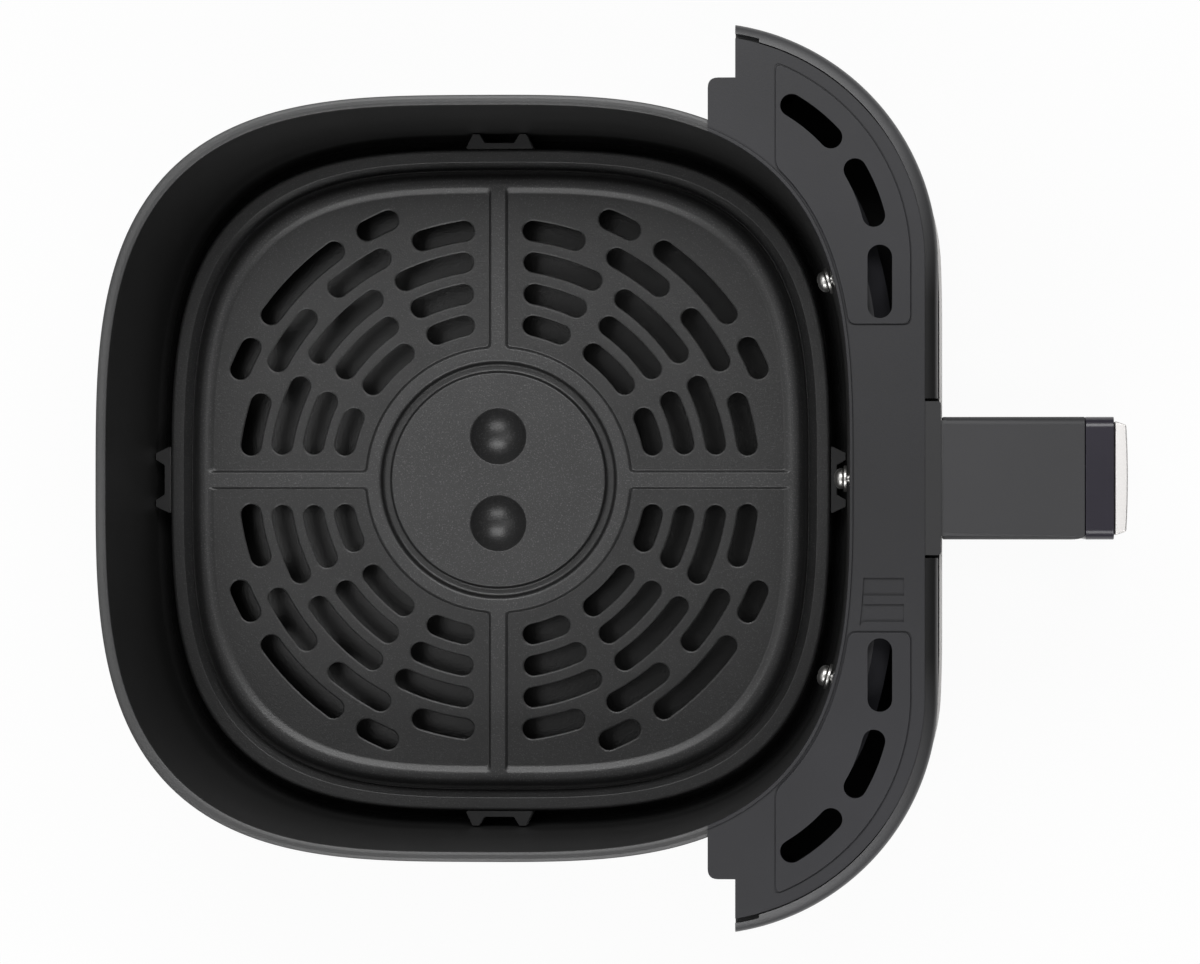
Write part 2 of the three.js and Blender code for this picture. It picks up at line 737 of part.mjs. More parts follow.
function makeGripCover() {
  const start = gripFace + clearance;
  const w = gripCoverWall;
  const whole = box([start, coverFace], [-handleHalf, handleHalf], [handleBottom, handleTop]);
  const hollow = box(
    [start - past, coverFace - w],
    [-handleHalf + w, handleHalf - w],
    [handleBottom + w, handleTop - w],
  );
  const boss = rod(postDiameter, start, coverFace - w / 2);
  const hole = rod(holeDiameter, start - past, coverFace - w);
  const peg = rod(holeDiameter, coverFace - 2 * w, coverFace + past);
  const withBosses = joined([
    whole.subtract(hollow), ...gripScrewHeights.map((z) => lyingAt(boss, [0, z]))]);
  return cut(
    withBosses,
    ...gripScrewHeights.map((z) => lyingAt(hole, [0, z])),
    ...trimPegPlaces.map((place) => lyingAt(peg, place)),
  );
}

function makeHandleTrim() {
  const start = coverFace + clearance;
  const c = trimChamfer;
  const w = handleHalf - clearance;
  const low = handleBottom + clearance;
  const high = handleTop - clearance;
  const across = extruded(polygon([
    [start, -w], [trimFace - c, -w], [trimFace, -w + c],
    [trimFace, w - c], [trimFace - c, w], [start, w],
  ]), low, high);
  const along = extruded(polygon([
    [start, low], [trimFace - c, low], [trimFace, low + c],
    [trimFace, high - c], [trimFace - c, high], [start, high],
  ]), -handleHalf, handleHalf).rotate([90, 0, 0]);
  const peg = rod(screwDiameter, coverFace - gripCoverWall, start + past);
  return joined([across.intersect(along), ...trimPegPlaces.map((place) => lyingAt(peg, place))]);
}

// ---- Fasteners ----------------------------------------------------------------------------

// along +Z: domed head below the seat, shank above it
function makeScrew(length) {
  const head = screwHead / 2;
  const shank = screwDiameter / 2;
  const slant = shank * 0.6;
  return toSolid(turned([
    [0, -screwHeadHeight],
    [head * 0.6, -screwHeadHeight * 0.85],
    [head, -screwHeadHeight * 0.25],
    [head, 0],
    [shank, 0],
    [shank, length - slant],
    [shank - slant, length],
    [0, length],
  ], 12));
}

function makeRing(inner, outer, thickness) {
  return toSolid(turned([
    [inner / 2, 0], [outer / 2, 0], [outer / 2, thickness], [inner / 2, thickness], [inner / 2, 0],
  ], 12));
}

// ---- Assembly -----------------------------------------------------------------------------

const finishes = {
  coating: { color: 0x1f1f20, roughness: 0.55, metalness: 0.3 },
  plateCoating: { color: 0x2c2c2d, roughness: 0.6, metalness: 0.3 },
  silicone: { color: 0x101011, roughness: 0.7, metalness: 0 },
  moulding: { color: 0x3b3b3f, roughness: 0.5, metalness: 0 },
  handlePlastic: { color: 0x46464a, roughness: 0.5, metalness: 0 },
  glossPlastic: { color: 0x35323a, roughness: 0.15, metalness: 0 },
  stainless: { color: 0xc4c0bc, roughness: 0.3, metalness: 1 },
  zinc: { color: 0xb4b4b2, roughness: 0.3, metalness: 1 },
  mica: { color: 0x8d8674, roughness: 0.8, metalness: 0 },
};
const materials = Object.fromEntries(
  Object.entries(finishes).map(([name, look]) => [name, new THREE.MeshStandardMaterial(look)]));

function part(name, solid, finish) {
  const mesh = new THREE.Mesh(toGeometry(solid), materials[finish]);
  mesh.name = name;
  return mesh;
}

function groupOf(...meshes) {
  const group = new THREE.Group();
  group.add(...meshes);
  return group;
}

function makePanGroup() {
  const group = groupOf(part('pan', makePan(), 'coating'));
  const washerStart = -2 * clearance - washerThickness; // the wall behind it is curved
  const screw = makeScrew(floorRadius).translate([0, 0, washerStart - clearance]);
  const washer = makeRing(holeDiameter, washerDiameter, washerThickness).translate([0, 0, washerStart]);
  const spacer = makeRing(holeDiameter, spacerDiameter, spacerThickness)
    .translate([0, 0, panWall + clearance]);
  panScrews.forEach((place, i) => {
    group.add(part(`pan_screw_${i + 1}`, atPanScrew(screw, place), 'zinc'));
    group.add(part(`pan_washer_${i + 1}`, atPanScrew(washer, place), 'zinc'));
    group.add(part(`heat_spacer_${i + 1}`, atPanScrew(spacer, place), 'mica'));
  });
  return group;
}

function makeCrisperGroup() {
  const group = groupOf(part('crisper_plate', makeCrisperPlate(), 'plateCoating'));
  const bumper = makeBumper();
  ['front', 'left', 'back', 'right'].forEach((side, i) => {
    group.add(part(`bumper_${side}`, bumper.rotate([0, 0, 90 * i]), 'silicone'));
  });
  return group;
}

function makeFasciaGroup() {
  const group = groupOf(
    part('fascia_insert', makeFasciaInsert(), 'moulding'),
    part('fascia_shell', makeFasciaShell(), 'moulding'),
    part('front_panel', makeFrontPanel(), 'stainless'),
  );
  const screw = makeScrew(shellScrewLength).translate([0, 0, fasciaBottom - clearance]);
  shellScrewPlaces.forEach(([x, y], i) => {
    group.add(part(`shell_screw_${i + 1}`, screw.translate([x, y, 0]), 'zinc'));
  });
  return group;
}

function makeHandleGroup() {
  const group = groupOf(
    part('handle_bracket', makeHandleBracket(), 'zinc'),
    part('handle_body', makeHandleBody(), 'handlePlastic'),
    part('grip_cover', makeGripCover(), 'glossPlastic'),
    part('handle_trim', makeHandleTrim(), 'stainless'),
  );
  const bracketBack = fasciaReach - shellWall - clearance - bracketThickness;
  const handleScrew = makeScrew(handleScrewLength).translate([0, 0, bracketBack - clearance]);
  handleScrewPlaces.forEach((place, i) => {
    group.add(part(`handle_screw_${i + 1}`, lyingAt(handleScrew, place), 'zinc'));
  });
  const gripSeat = gripFace - gripInner + screwHeadHeight;
  const gripScrew = makeScrew(gripScrewLength).translate([0, 0, gripSeat]);
  gripScrewHeights.forEach((z, i) => {
    group.add(part(`grip_screw_${i + 1}`, lyingAt(gripScrew, [0, z]), 'zinc'));
  });
  return group;
}

const group = groupOf(makePanGroup(), makeCrisperGroup(), makeFasciaGroup(), makeHandleGroup());

export default group;
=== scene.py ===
from math import acos, asin, atan2, cos, degrees, pi, radians, sin, sqrt, tan

import bmesh
import bpy
from mathutils import Matrix, Vector


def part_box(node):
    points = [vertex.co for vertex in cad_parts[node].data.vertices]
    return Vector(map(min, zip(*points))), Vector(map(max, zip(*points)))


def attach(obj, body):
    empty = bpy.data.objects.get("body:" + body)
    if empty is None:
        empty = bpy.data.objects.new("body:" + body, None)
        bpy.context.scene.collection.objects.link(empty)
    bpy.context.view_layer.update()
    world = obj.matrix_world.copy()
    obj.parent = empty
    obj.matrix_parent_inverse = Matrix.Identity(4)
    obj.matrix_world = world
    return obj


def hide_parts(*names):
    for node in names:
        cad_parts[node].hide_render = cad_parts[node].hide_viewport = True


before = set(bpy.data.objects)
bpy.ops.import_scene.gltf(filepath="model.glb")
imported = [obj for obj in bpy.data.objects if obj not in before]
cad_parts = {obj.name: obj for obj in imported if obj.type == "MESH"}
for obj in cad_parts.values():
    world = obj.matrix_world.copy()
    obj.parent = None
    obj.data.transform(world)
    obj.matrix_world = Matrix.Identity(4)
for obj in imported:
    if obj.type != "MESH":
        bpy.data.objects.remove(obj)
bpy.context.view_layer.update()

mm = 0.001  # pieces are drawn in millimetres and brought to metres when they are finished
scene = bpy.context.scene


# sizes in millimetres of a node of the frame
def extent(node):
    low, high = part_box(node)
    return low / mm, high / mm


panHigh = extent("pan")[1]
plateLow, plateHigh = extent("crisper_plate")
shellLow, shellHigh = extent("fascia_shell")
insertLow = extent("fascia_insert")[0]

common = {
    "gap": 0.3,          # between neighbouring pieces
    "squareness": 3.2,   # exponent of the rounded square that pan and plate share
    "turnSteps": 288,    # round the whole pan
}
print("frame loaded")


# modelling helpers

def squareReach(angle):
    n = common["squareness"]
    return (abs(cos(angle)) ** n + abs(sin(angle)) ** n) ** (-1 / n)


# turned vertices pressed into the rounded square
def pressSquare(verts):
    for vert in verts:
        reach = squareReach(atan2(vert.co.y, vert.co.x))
        vert.co.x *= reach
        vert.co.y *= reach


# half depth of the rounded square at a sideways distance
def squareDepth(half, side):
    n = common["squareness"]
    return half * (1 - (abs(side) / half) ** n) ** (1 / n)


# points of [radius, height] along an arc, angles in degrees
def arc(cx, cz, radius, start, end, steps):
    angles = [radians(start + (end - start) * i / steps) for i in range(steps + 1)]
    return [(cx + radius * cos(a), cz + radius * sin(a)) for a in angles]


# outline of a slot with round ends along an arc, angles in degrees
def arcSlot(cx, cy, radius, start, end, width, steps=12, endSteps=12):
    half = width / 2
    points = arc(cx, cy, radius + half, start, end, steps)
    for angle, side in ((end, 0), (start, 180)):
        x, y = cx + radius * cos(radians(angle)), cy + radius * sin(radians(angle))
        points += arc(x, y, half, angle + side, angle + side + 180, endSteps)[1:-1]
        if side == 0:
            points += arc(cx, cy, radius - half, end, start, steps)
    return points


# a polyline whose inner corners are rounded, each corner given as (x, z, radius)
def rounded(corners, steps=5):
    points = []
    for i, (x, z, radius) in enumerate(corners):
        if i == 0 or i == len(corners) - 1 or radius == 0:
            points.append((x, z))
            continue
        here = Vector((x, z))
        before = Vector(corners[i - 1][:2]) - here
        after = Vector(corners[i + 1][:2]) - here
        half = before.angle(after) / 2
        reach = min(radius / tan(half), before.length * 0.49, after.length * 0.49)
        start, end = here + before.normalized() * reach, here + after.normalized() * reach
        for k in range(steps + 1):
            t = k / steps
            weight = 2 * t * (1 - t) * sin(half) ** 0.5
            a, b = (1 - t) ** 2, t ** 2
            points.append(tuple((start * a + end * b + here * weight) / (a + b + weight)))
    return points


# a profile of [radius, height] turned about the upright axis
def turn(bm, profile, steps, closed=False):
    verts = [bm.verts.new((r, 0, z)) for r, z in profile]
    pairs = list(zip(verts, verts[1:]))
    if closed:
        pairs.append((verts[-1], verts[0]))
    edges = [bm.edges.new(pair) for pair in pairs]
    bmesh.ops.spin(bm, geom=verts + edges, cent=(0, 0, 0), axis=(0, 0, 1), angle=2 * pi,
                   steps=steps, use_merge=True)
    return edges


def vertsOf(geometry):
    return [item for item in geometry if isinstance(item, bmesh.types.BMVert)]


# the edges or faces at some vertices, always in the same order
def touching(verts, kind):
    return list(dict.fromkeys(item for vert in verts for item in getattr(vert, kind)))


# a closed ring through points of (x, y) at one height; returns its vertices and its edges
def ring(bm, points, z):
    made = bmesh.ops.create_circle(bm, segments=len(points), radius=1)["verts"]
    verts = sorted(made, key=lambda vert: atan2(vert.co.y, vert.co.x))
    for vert, (x, y) in zip(verts, points):
        vert.co = (x, y, z)
    return verts, touching(verts, "link_edges")


# a wall that climbs through rings at [points, height]; returns the edges of the first and the last
def stackRings(bm, levels):
    verts, edges = ring(bm, *levels[0])
    first = edges
    for points, z in levels[1:]:
        grown = bmesh.ops.extrude_edge_only(bm, edges=edges)["geom"]
        fresh = set(vertsOf(grown))
        edges = [item for item in grown if isinstance(item, bmesh.types.BMEdge) and set(item.verts) <= fresh]
        verts = [next(e.other_vert(v) for e in v.link_edges if e.other_vert(v) in fresh) for v in verts]
        for vert, (x, y) in zip(verts, points):
            vert.co = (x, y, z)
    return first, edges


def fill(bm, edges):
    bmesh.ops.triangle_fill(bm, use_beauty=True, use_dissolve=False, edges=edges)


# upright block over an outline of (x, y) points
def prism(bm, points, low, high):
    verts = [bm.verts.new((x, y, low)) for x, y in points]
    face = bm.faces.new(verts)
    top = bmesh.ops.extrude_face_region(bm, geom=[face], use_keep_orig=True)["geom"]
    bmesh.ops.translate(bm, verts=vertsOf(top), vec=(0, 0, high - low))
    bmesh.ops.recalc_face_normals(bm, faces=bm.faces)


# closed outline of sides, each a function from 0 to 1, whose meetings are rounded over a reach
def cornered(sides, reach, steps, cornerSteps=6):
    cutSides = []
    for side, count in zip(sides, steps):
        marks = [Vector(side(i / 40)) for i in range(41)]
        length = sum((b - a).length for a, b in zip(marks, marks[1:]))
        trim = reach / length
        cutSides.append([Vector(side(trim + (1 - 2 * trim) * i / count)) for i in range(count + 1)])
    points = []
    for i, side in enumerate(cutSides):
        following = cutSides[(i + 1) % len(sides)][0]
        corner = Vector(sides[i](1))
        points += side
        for k in range(1, cornerSteps):
            t = k / cornerSteps
            points.append(side[-1] * (1 - t) ** 2 + corner * 2 * t * (1 - t) + following * t ** 2)
    return [tuple(point) for point in points]


def straight(start, end):
    return lambda t: (start[0] + (end[0] - start[0]) * t, start[1] + (end[1] - start[1]) * t)


# closes a bmesh into an object: doubles merged, faces outwards, brought to metres
def finishMesh(bm, name, recalc=True):
    bmesh.ops.remove_doubles(bm, verts=bm.verts, dist=1e-4)
    if recalc:
        bmesh.ops.recalc_face_normals(bm, faces=bm.faces)
    bmesh.ops.scale(bm, verts=bm.verts, vec=(mm, mm, mm))
    mesh = bpy.data.meshes.new(name)
    bm.to_mesh(mesh)
    bm.free()
    mesh.shade_smooth()
    piece = bpy.data.objects.new(name, mesh)
    scene.collection.objects.link(piece)
    return piece


# live modifiers become the mesh
def settle(piece):
    bpy.context.view_layer.update()
    graph = bpy.context.evaluated_depsgraph_get()
    mesh = bpy.data.meshes.new_from_object(piece.evaluated_get(graph))
    piece.modifiers.clear()
    piece.data = mesh
    return piece


def soften(piece, width, segments=3, angle=32):
    bevel = piece.modifiers.new("softened edges", "BEVEL")
    bevel.width = width * mm
    bevel.segments = segments
    bevel.limit_method = "ANGLE"
    bevel.angle_limit = radians(angle)
    bevel.miter_outer = "MITER_ARC"
    return evenOut(piece)


# keeps flats flat in the shading
def evenOut(piece):
    even = piece.modifiers.new("even shading", "WEIGHTED_NORMAL")
    even.mode = "FACE_AREA"
    even.weight = 80
    even.keep_sharp = True
    return settle(piece)


# joins or cuts with other objects, which are used up
def combine(piece, others, how):
    for other in others:
        tool = piece.modifiers.new(how.lower(), "BOOLEAN")
        tool.operation = how
        tool.solver = "EXACT"
        tool.object = other
    settle(piece)
    for other in others:
        bpy.data.objects.remove(other)
    return piece


def prismPiece(points, low, high, name="block"):
    bm = bmesh.new()
    prism(bm, points, low, high)
    return finishMesh(bm, name)


# a block between two corners
def box(low, high):
    bm = bmesh.new()
    size = [b - a for a, b in zip(low, high)]
    middle = [(a + b) / 2 for a, b in zip(low, high)]
    bmesh.ops.create_cube(bm, size=1, matrix=Matrix.Translation(middle) @ Matrix.Diagonal((*size, 1)))
    return bm


def boxPiece(low, high, name="box"):
    return finishMesh(box(low, high), name)


def roundEdges(bm, edges, radius, segments):
    bmesh.ops.bevel(bm, geom=edges, offset=radius, segments=segments, profile=0.5, affect="EDGES",
                    material=-1)


# a turned profile pressed into the rounded square
def squarePiece(profile, steps, name="square"):
    bm = bmesh.new()
    turn(bm, profile, steps)
    pressSquare(bm.verts)
    return finishMesh(bm, name)


def squareBlock(half, low, high):
    return squarePiece([(0, low), (half, low), (half, high), (0, high)], common["turnSteps"])


# a plain rod along its own upright axis, put in place by a matrix
def rod(diameter, low, high, matrix=Matrix(), steps=32, name="rod"):
    bm = bmesh.new()
    bmesh.ops.create_cone(bm, cap_ends=True, segments=steps, radius1=diameter / 2, radius2=diameter / 2,
                          depth=high - low, matrix=matrix @ Matrix.Translation((0, 0, (low + high) / 2)))
    return finishMesh(bm, name)


# merges slivers and flat neighbours that cutting leaves behind
def clean(piece):
    bm = bmesh.new()
    bm.from_mesh(piece.data)
    bmesh.ops.remove_doubles(bm, verts=bm.verts, dist=0.01 * mm)
    bmesh.ops.dissolve_degenerate(bm, edges=bm.edges, dist=0.01 * mm)
    bmesh.ops.dissolve_limit(bm, angle_limit=radians(0.2), use_dissolve_boundaries=False,
                             verts=bm.verts, edges=bm.edges)
    bm.to_mesh(piece.data)
    bm.free()
    piece.data.shade_smooth()
    return piece


def mirrorPiece(piece):
    bm = bmesh.new()
    bm.from_mesh(piece.data)
    bmesh.ops.scale(bm, verts=bm.verts, vec=(1, -1, 1))
    bmesh.ops.recalc_face_normals(bm, faces=bm.faces)
    mesh = bpy.data.meshes.new(piece.name)
    bm.to_mesh(mesh)
    bm.free()
    other = bpy.data.objects.new(piece.name + " mirrored", mesh)
    scene.collection.objects.link(other)
    return other


def dress(piece, material):
    piece.data.materials.clear()
    piece.data.materials.append(material)


# gives a new piece its finish, its body and the node that it stands for
def place(piece, slot, node, body="drawer"):
    dress(piece, finishes[slot])
    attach(piece, body)
    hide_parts(node)
    return piece


# finishes

# adds a node: settings go on the node and values on its sockets, where another node's output is linked
def addNode(tree, kind, sockets, **settings):
    node = tree.nodes.new(kind)
    for label, value in settings.items():
        setattr(node, label, value)
    for label, value in sockets.items():
        if isinstance(value, bpy.types.NodeSocket):
            tree.links.new(value, node.inputs[label])
        else:
            node.inputs[label].default_value = value
    return node


def compute(tree, operation, *values):
    return addNode(tree, "ShaderNodeMath", dict(enumerate(values)), operation=operation).outputs[0]


# carries a value from one range to another
def remap(tree, value, fromLow, fromHigh, toLow, toHigh):
    sockets = {"Value": value, "From Min": fromLow, "From Max": fromHigh, "To Min": toLow, "To Max": toHigh}
    return addNode(tree, "ShaderNodeMapRange", sockets).outputs["Result"]


def noise(tree, place, scale, detail=2.0, roughness=0.5):
    sockets = {"Vector": place, "Scale": scale, "Detail": detail, "Roughness": roughness}
    return addNode(tree, "ShaderNodeTexNoise", sockets).outputs["Fac"]


# a node group with the named inputs and outputs; returns it with the outputs of its input node
def newGroup(name, inputs, outputs):
    group = bpy.data.node_groups.new(name, "ShaderNodeTree")
    for label, value in inputs.items():
        kind = "NodeSocketVector" if isinstance(value, tuple) else "NodeSocketFloat"
        group.interface.new_socket(label, in_out="INPUT", socket_type=kind).default_value = value
    for label in outputs:
        group.interface.new_socket(label, in_out="OUTPUT", socket_type="NodeSocketFloat")
    return group, group.nodes.new("NodeGroupInput").outputs


grainDefaults = {"Place": (0, 0, 0), "Grain": 2500.0, "Cloud": 60.0, "Fleck": 0.62}


# fine grain of a coated or moulded surface: pits and specks, with a broad slow change of tone
def makeGrainGroup():
    group, given = newGroup("surface grain", grainDefaults, ("Height", "Tone", "Specks"))
    fine = noise(group, given["Place"], given["Grain"], 3.0, 0.6)
    coarse = noise(group, given["Place"], compute(group, "MULTIPLY", given["Grain"], 0.37))
    cloud = noise(group, given["Place"], given["Cloud"], 4.0, 0.55)
    height = compute(group, "MULTIPLY_ADD", coarse, 0.6, fine)
    specks = remap(group, fine, given["Fleck"], compute(group, "ADD", given["Fleck"], 0.08), 0, 1)
    addNode(group, "NodeGroupOutput", {"Height": height, "Tone": cloud, "Specks": specks})
    return group


# drawn or brushed metal: long fine lines across the given place, stretched by its mapping
def makeBrushGroup():
    group, given = newGroup("brushed lines", {"Place": (0, 0, 0), "Line": 1.0}, ("Height", "Tone"))
    fine = noise(group, given["Place"], given["Line"], 4.0, 0.7)
    broad = noise(group, given["Place"], compute(group, "MULTIPLY", given["Line"], 0.3))
    addNode(group, "NodeGroupOutput", {"Height": fine, "Tone": broad})
    return group


grainGroup = makeGrainGroup()
brushGroup = makeBrushGroup()
toneSpan = (0.3, 0.7)   # the part of a noise's range that colour and roughness follow


# a material with a Principled surface; sockets are given by their names
def newFinish(name, sockets):
    material = bpy.data.materials.new(name)
    material.use_nodes = True
    surface = material.node_tree.nodes["Principled BSDF"]
    for label, value in sockets.items():
        surface.inputs[label].default_value = value
    return material, surface


# a group's outputs on a material, read at the object's own coordinates
def useGroup(material, group, stretch=(1, 1, 1), **values):
    tree = material.node_tree
    where = tree.nodes.new("ShaderNodeTexCoord").outputs["Object"]
    mapping = addNode(tree, "ShaderNodeMapping", {"Scale": stretch, "Vector": where})
    sockets = {"Place": mapping.outputs["Vector"], **values}
    return addNode(tree, "ShaderNodeGroup", sockets, node_tree=group).outputs


# mixes two colours by a mask into Base Color
def tint(material, mask, low, high):
    tree = material.node_tree
    ramp = addNode(tree, "ShaderNodeValToRGB", {"Fac": mask})
    for stop, position, color in zip(ramp.color_ramp.elements, toneSpan, (low, high)):
        stop.position = position
        stop.color = (*color, 1)
    tree.links.new(ramp.outputs["Color"], tree.nodes["Principled BSDF"].inputs["Base Color"])
    return ramp.outputs["Color"]


def roughen(material, mask, low, high):
    tree = material.node_tree
    roughness = remap(tree, mask, *toneSpan, low, high)
    tree.links.new(roughness, tree.nodes["Principled BSDF"].inputs["Roughness"])
    return roughness


def emboss(material, height, depth, strength):
    tree = material.node_tree
    bump = addNode(tree, "ShaderNodeBump", {"Distance": depth, "Strength": strength, "Height": height})
    tree.links.new(bump.outputs["Normal"], tree.nodes["Principled BSDF"].inputs["Normal"])


def darker(color, share):
    return tuple(channel * share for channel in color)


# goes from one value to another between two distances along an axis, in metres
def fade(tree, axis, high, low, start, end):
    where = tree.nodes.new("ShaderNodeTexCoord").outputs["Object"]
    parts = addNode(tree, "ShaderNodeSeparateXYZ", {"Vector": where})
    return remap(tree, compute(tree, "ABSOLUTE", parts.outputs[axis]), high, low, start, end)


def mixColors(tree, factor, first, second, how="MIX"):
    sockets = {"Factor": factor, "A": first, "B": (*second, 1)}
    return addNode(tree, "ShaderNodeMix", sockets, data_type="RGBA", blend_type=how).outputs["Result"]


# a grained surface: tone drifts a little, specks are a touch lighter, pits catch the light; each
# "darker" span paints light and shade into the colour, multiplying it by a share that it reaches at
# the lower of two distances, and "polished" does that to the roughness
def grained(name, look):
    material, surface = newFinish(name, look.get("sockets", {}))
    tree, color = material.node_tree, look["color"]
    grain = useGroup(material, grainGroup, Grain=look["grain"], Cloud=look["cloud"],
                     Fleck=look.get("fleck", grainDefaults["Fleck"]))
    tone = tint(material, grain["Tone"], darker(color, 1 - look["drift"]), darker(color, 1 + look["drift"]))
    mixed = mixColors(tree, grain["Specks"], tone, darker(color, look["speck"]))
    for axis, high, low, share in look.get("darker", []):
        mixed = mixColors(tree, fade(tree, axis, high, low, 0, 1), mixed, (share,) * 3, "MULTIPLY")
    tree.links.new(mixed, surface.inputs["Base Color"])
    roughness = roughen(material, grain["Height"], *look["roughness"])
    if "polished" in look:
        polished = compute(tree, "MULTIPLY", roughness, fade(tree, *look["polished"]))
        tree.links.new(polished, surface.inputs["Roughness"])
    emboss(material, grain["Height"], look["depth"], look["bump"])
    return material


# a metal with lines drawn along the axis that its stretch is smallest on
def brushed(name, look):
    material = newFinish(name, {"Metallic": 1.0})[0]
    lines = useGroup(material, brushGroup, look["stretch"])
    tint(material, lines["Tone"], darker(look["color"], 1 - look["drift"]), look["color"])
    roughen(material, lines["Height"], *look["roughness"])
    emboss(material, lines["Height"], look["depth"], look["bump"])
    return material


panTop, plateTop = panHigh.z * mm, plateHigh.z * mm
grainedLooks = {
    # non-stick enamel on the pan's steel, with a painted highlight that keeps the rim's top lighter than the
    # rest and painted shade that makes the floor darker; the floor is also smoother
    "pan_coating": {
        "color": (0.052, 0.052, 0.0525), "drift": 0.10, "speck": 1.9, "grain": 2600, "cloud": 35,
        "roughness": (0.29, 0.38), "depth": 0.00012, "bump": 0.4,
        "darker": [("Z", panTop - 0.0004, panTop - 0.0010, 0.48), ("Z", 0.010, 0.003, 0.14)],
        "polished": ("Z", 0.010, 0.003, 1, 0.4), "sockets": {"Specular IOR Level": 0.6}},
    # coarser, drier enamel on the crisper plate, with painted shade that makes everything below the tops of
    # the crest, ribs and disc darker, such as the slotted fields
    "plate_coating": {
        "color": (0.038, 0.038, 0.0385), "drift": 0.10, "speck": 2.4, "grain": 2100, "cloud": 55,
        "fleck": 0.57, "roughness": (0.26, 0.34), "depth": 0.00016, "bump": 0.4,
        "darker": [("Z", plateTop - 0.0002, plateTop - 0.0006, 0.55)]},
    "silicone": {
        "color": (0.013, 0.013, 0.0135), "drift": 0.12, "speck": 1.6, "grain": 3200, "cloud": 150,
        "roughness": (0.60, 0.72), "depth": 0.00006, "bump": 0.4,
        "sockets": {"Sheen Weight": 0.15, "Sheen Roughness": 0.4}},
    # spark-eroded matt plastic of the fascia's insert, with painted shade that makes it darker towards the
    # middle, away from the wings
    "fascia_moulding": {
        "color": (0.019, 0.019, 0.0225), "drift": 0.20, "speck": 1.25, "grain": 3400, "cloud": 14,
        "roughness": (0.42, 0.52), "depth": 0.00007, "bump": 0.4,
        "darker": [("Y", 0.085, 0.030, 0.68)]},
    # painted light: the casing is coloured light on the wings, where light catches the shoulder, and painted
    # shade makes it far darker across the front
    "shell_moulding": {
        "color": (0.072, 0.072, 0.075), "drift": 0.06, "speck": 1.2, "grain": 3400, "cloud": 22,
        "roughness": (0.34, 0.42), "depth": 0.00005, "bump": 0.35,
        "darker": [("Y", 0.105, 0.055, 0.07)]},
    # painted shade: the root block that sits in the shell's notch is darker than the arm
    "handle_moulding": {
        "color": (0.035, 0.035, 0.0375), "drift": 0.05, "speck": 1.2, "grain": 3600, "cloud": 30,
        "roughness": (0.46, 0.54), "depth": 0.00005, "bump": 0.35,
        "darker": [("X", 0.1446, 0.1440, 0.50)]},
    "grip_gloss": {
        "color": (0.022, 0.019, 0.030), "drift": 0.08, "speck": 1.1, "grain": 1500, "cloud": 40,
        "roughness": (0.26, 0.34), "depth": 0.00002, "bump": 0.15,
        "sockets": {"Coat Weight": 0.25, "Coat Roughness": 0.12}},
    # mica
    "heat_spacer": {
        "color": (0.30, 0.27, 0.20), "drift": 0.18, "speck": 1.5, "grain": 1400, "cloud": 220,
        "roughness": (0.6, 0.8), "depth": 0.0001, "bump": 0.5},
}
brushedLooks = {
    "front_stainless": {"color": (0.80, 0.79, 0.775), "drift": 0.10, "stretch": (60, 60, 9000),
                        "roughness": (0.52, 0.64), "depth": 0.00003, "bump": 0.3},
    "trim_stainless": {"color": (0.88, 0.86, 0.845), "drift": 0.06, "stretch": (9000, 9000, 60),
                       "roughness": (0.46, 0.58), "depth": 0.00002, "bump": 0.25},
    "screw_steel": {"color": (0.70, 0.69, 0.67), "drift": 0.12, "stretch": (1500, 1500, 1500),
                    "roughness": (0.30, 0.42), "depth": 0.00002, "bump": 0.2},
    "bracket_steel": {"color": (0.52, 0.53, 0.54), "drift": 0.25, "stretch": (220, 220, 220),
                      "roughness": (0.3, 0.5), "depth": 0.00002, "bump": 0.2},
}
finishes = {slot: grained(slot.replace("_", " "), look) for slot, look in grainedLooks.items()}
finishes.update({slot: brushed(slot.replace("_", " "), look) for slot, look in brushedLooks.items()})
print("finishes made")


# camera, light and floor

# it looks down from above the handle, turned a little towards the pan
view = {
    "place": (0.13656, -0.00908, 1.70235),
    "turn": (0.28448, 3.51821, 0.01011),   # degrees about X, Y and Z, from looking straight down
    "lens": 154.89,
}


def makeCamera():
    data = bpy.data.cameras.new("camera")
    data.lens = view["lens"]
    data.sensor_width = 36
    data.clip_end = 20
    camera = bpy.data.objects.new("camera", data)
    camera.location = view["place"]
    camera.rotation_euler = [radians(angle) for angle in view["turn"]]
    scene.collection.objects.link(camera)
    scene.camera = camera


studio = {
    "world": 0.06,
    "mirrored": 0.15,    # the world as reflections see it
    "floorSize": 6.0,
    "floorDrop": 0.0002,  # under the pan's base, so that the two never lie in one plane
    "floorColor": 0.92,
    "floorGlow": 0.95,   # share of the floor that the eye and reflections see as plain white
    "target": (0.03, 0, 0.05),
    "distance": 1.1,
    "panels": [          # name, turn about the upright axis, height angle, size, power
        ("upper", 90, 60, (0.9, 0.45), 7.2),
        ("lower", -90, 52, (0.9, 0.45), 5.6),
        ("left", 180, 60, (0.4, 0.9), 1.2),
    ],
}


def makeLights():
    target = Vector(studio["target"])
    for name, turned, height, (width, depth), power in studio["panels"]:
        data = bpy.data.lights.new(name, "AREA")
        data.shape = "RECTANGLE"
        data.size, data.size_y = width, depth
        data.energy = power
        light = bpy.data.objects.new(name, data)
        flat, upward = cos(radians(height)), sin(radians(height))
        away = Vector((flat * cos(radians(turned)), flat * sin(radians(turned)), upward))
        light.location = target + away * studio["distance"]
        light.visible_camera = False
        light.rotation_euler = away.to_track_quat("Z", "Y").to_euler()
        scene.collection.objects.link(light)


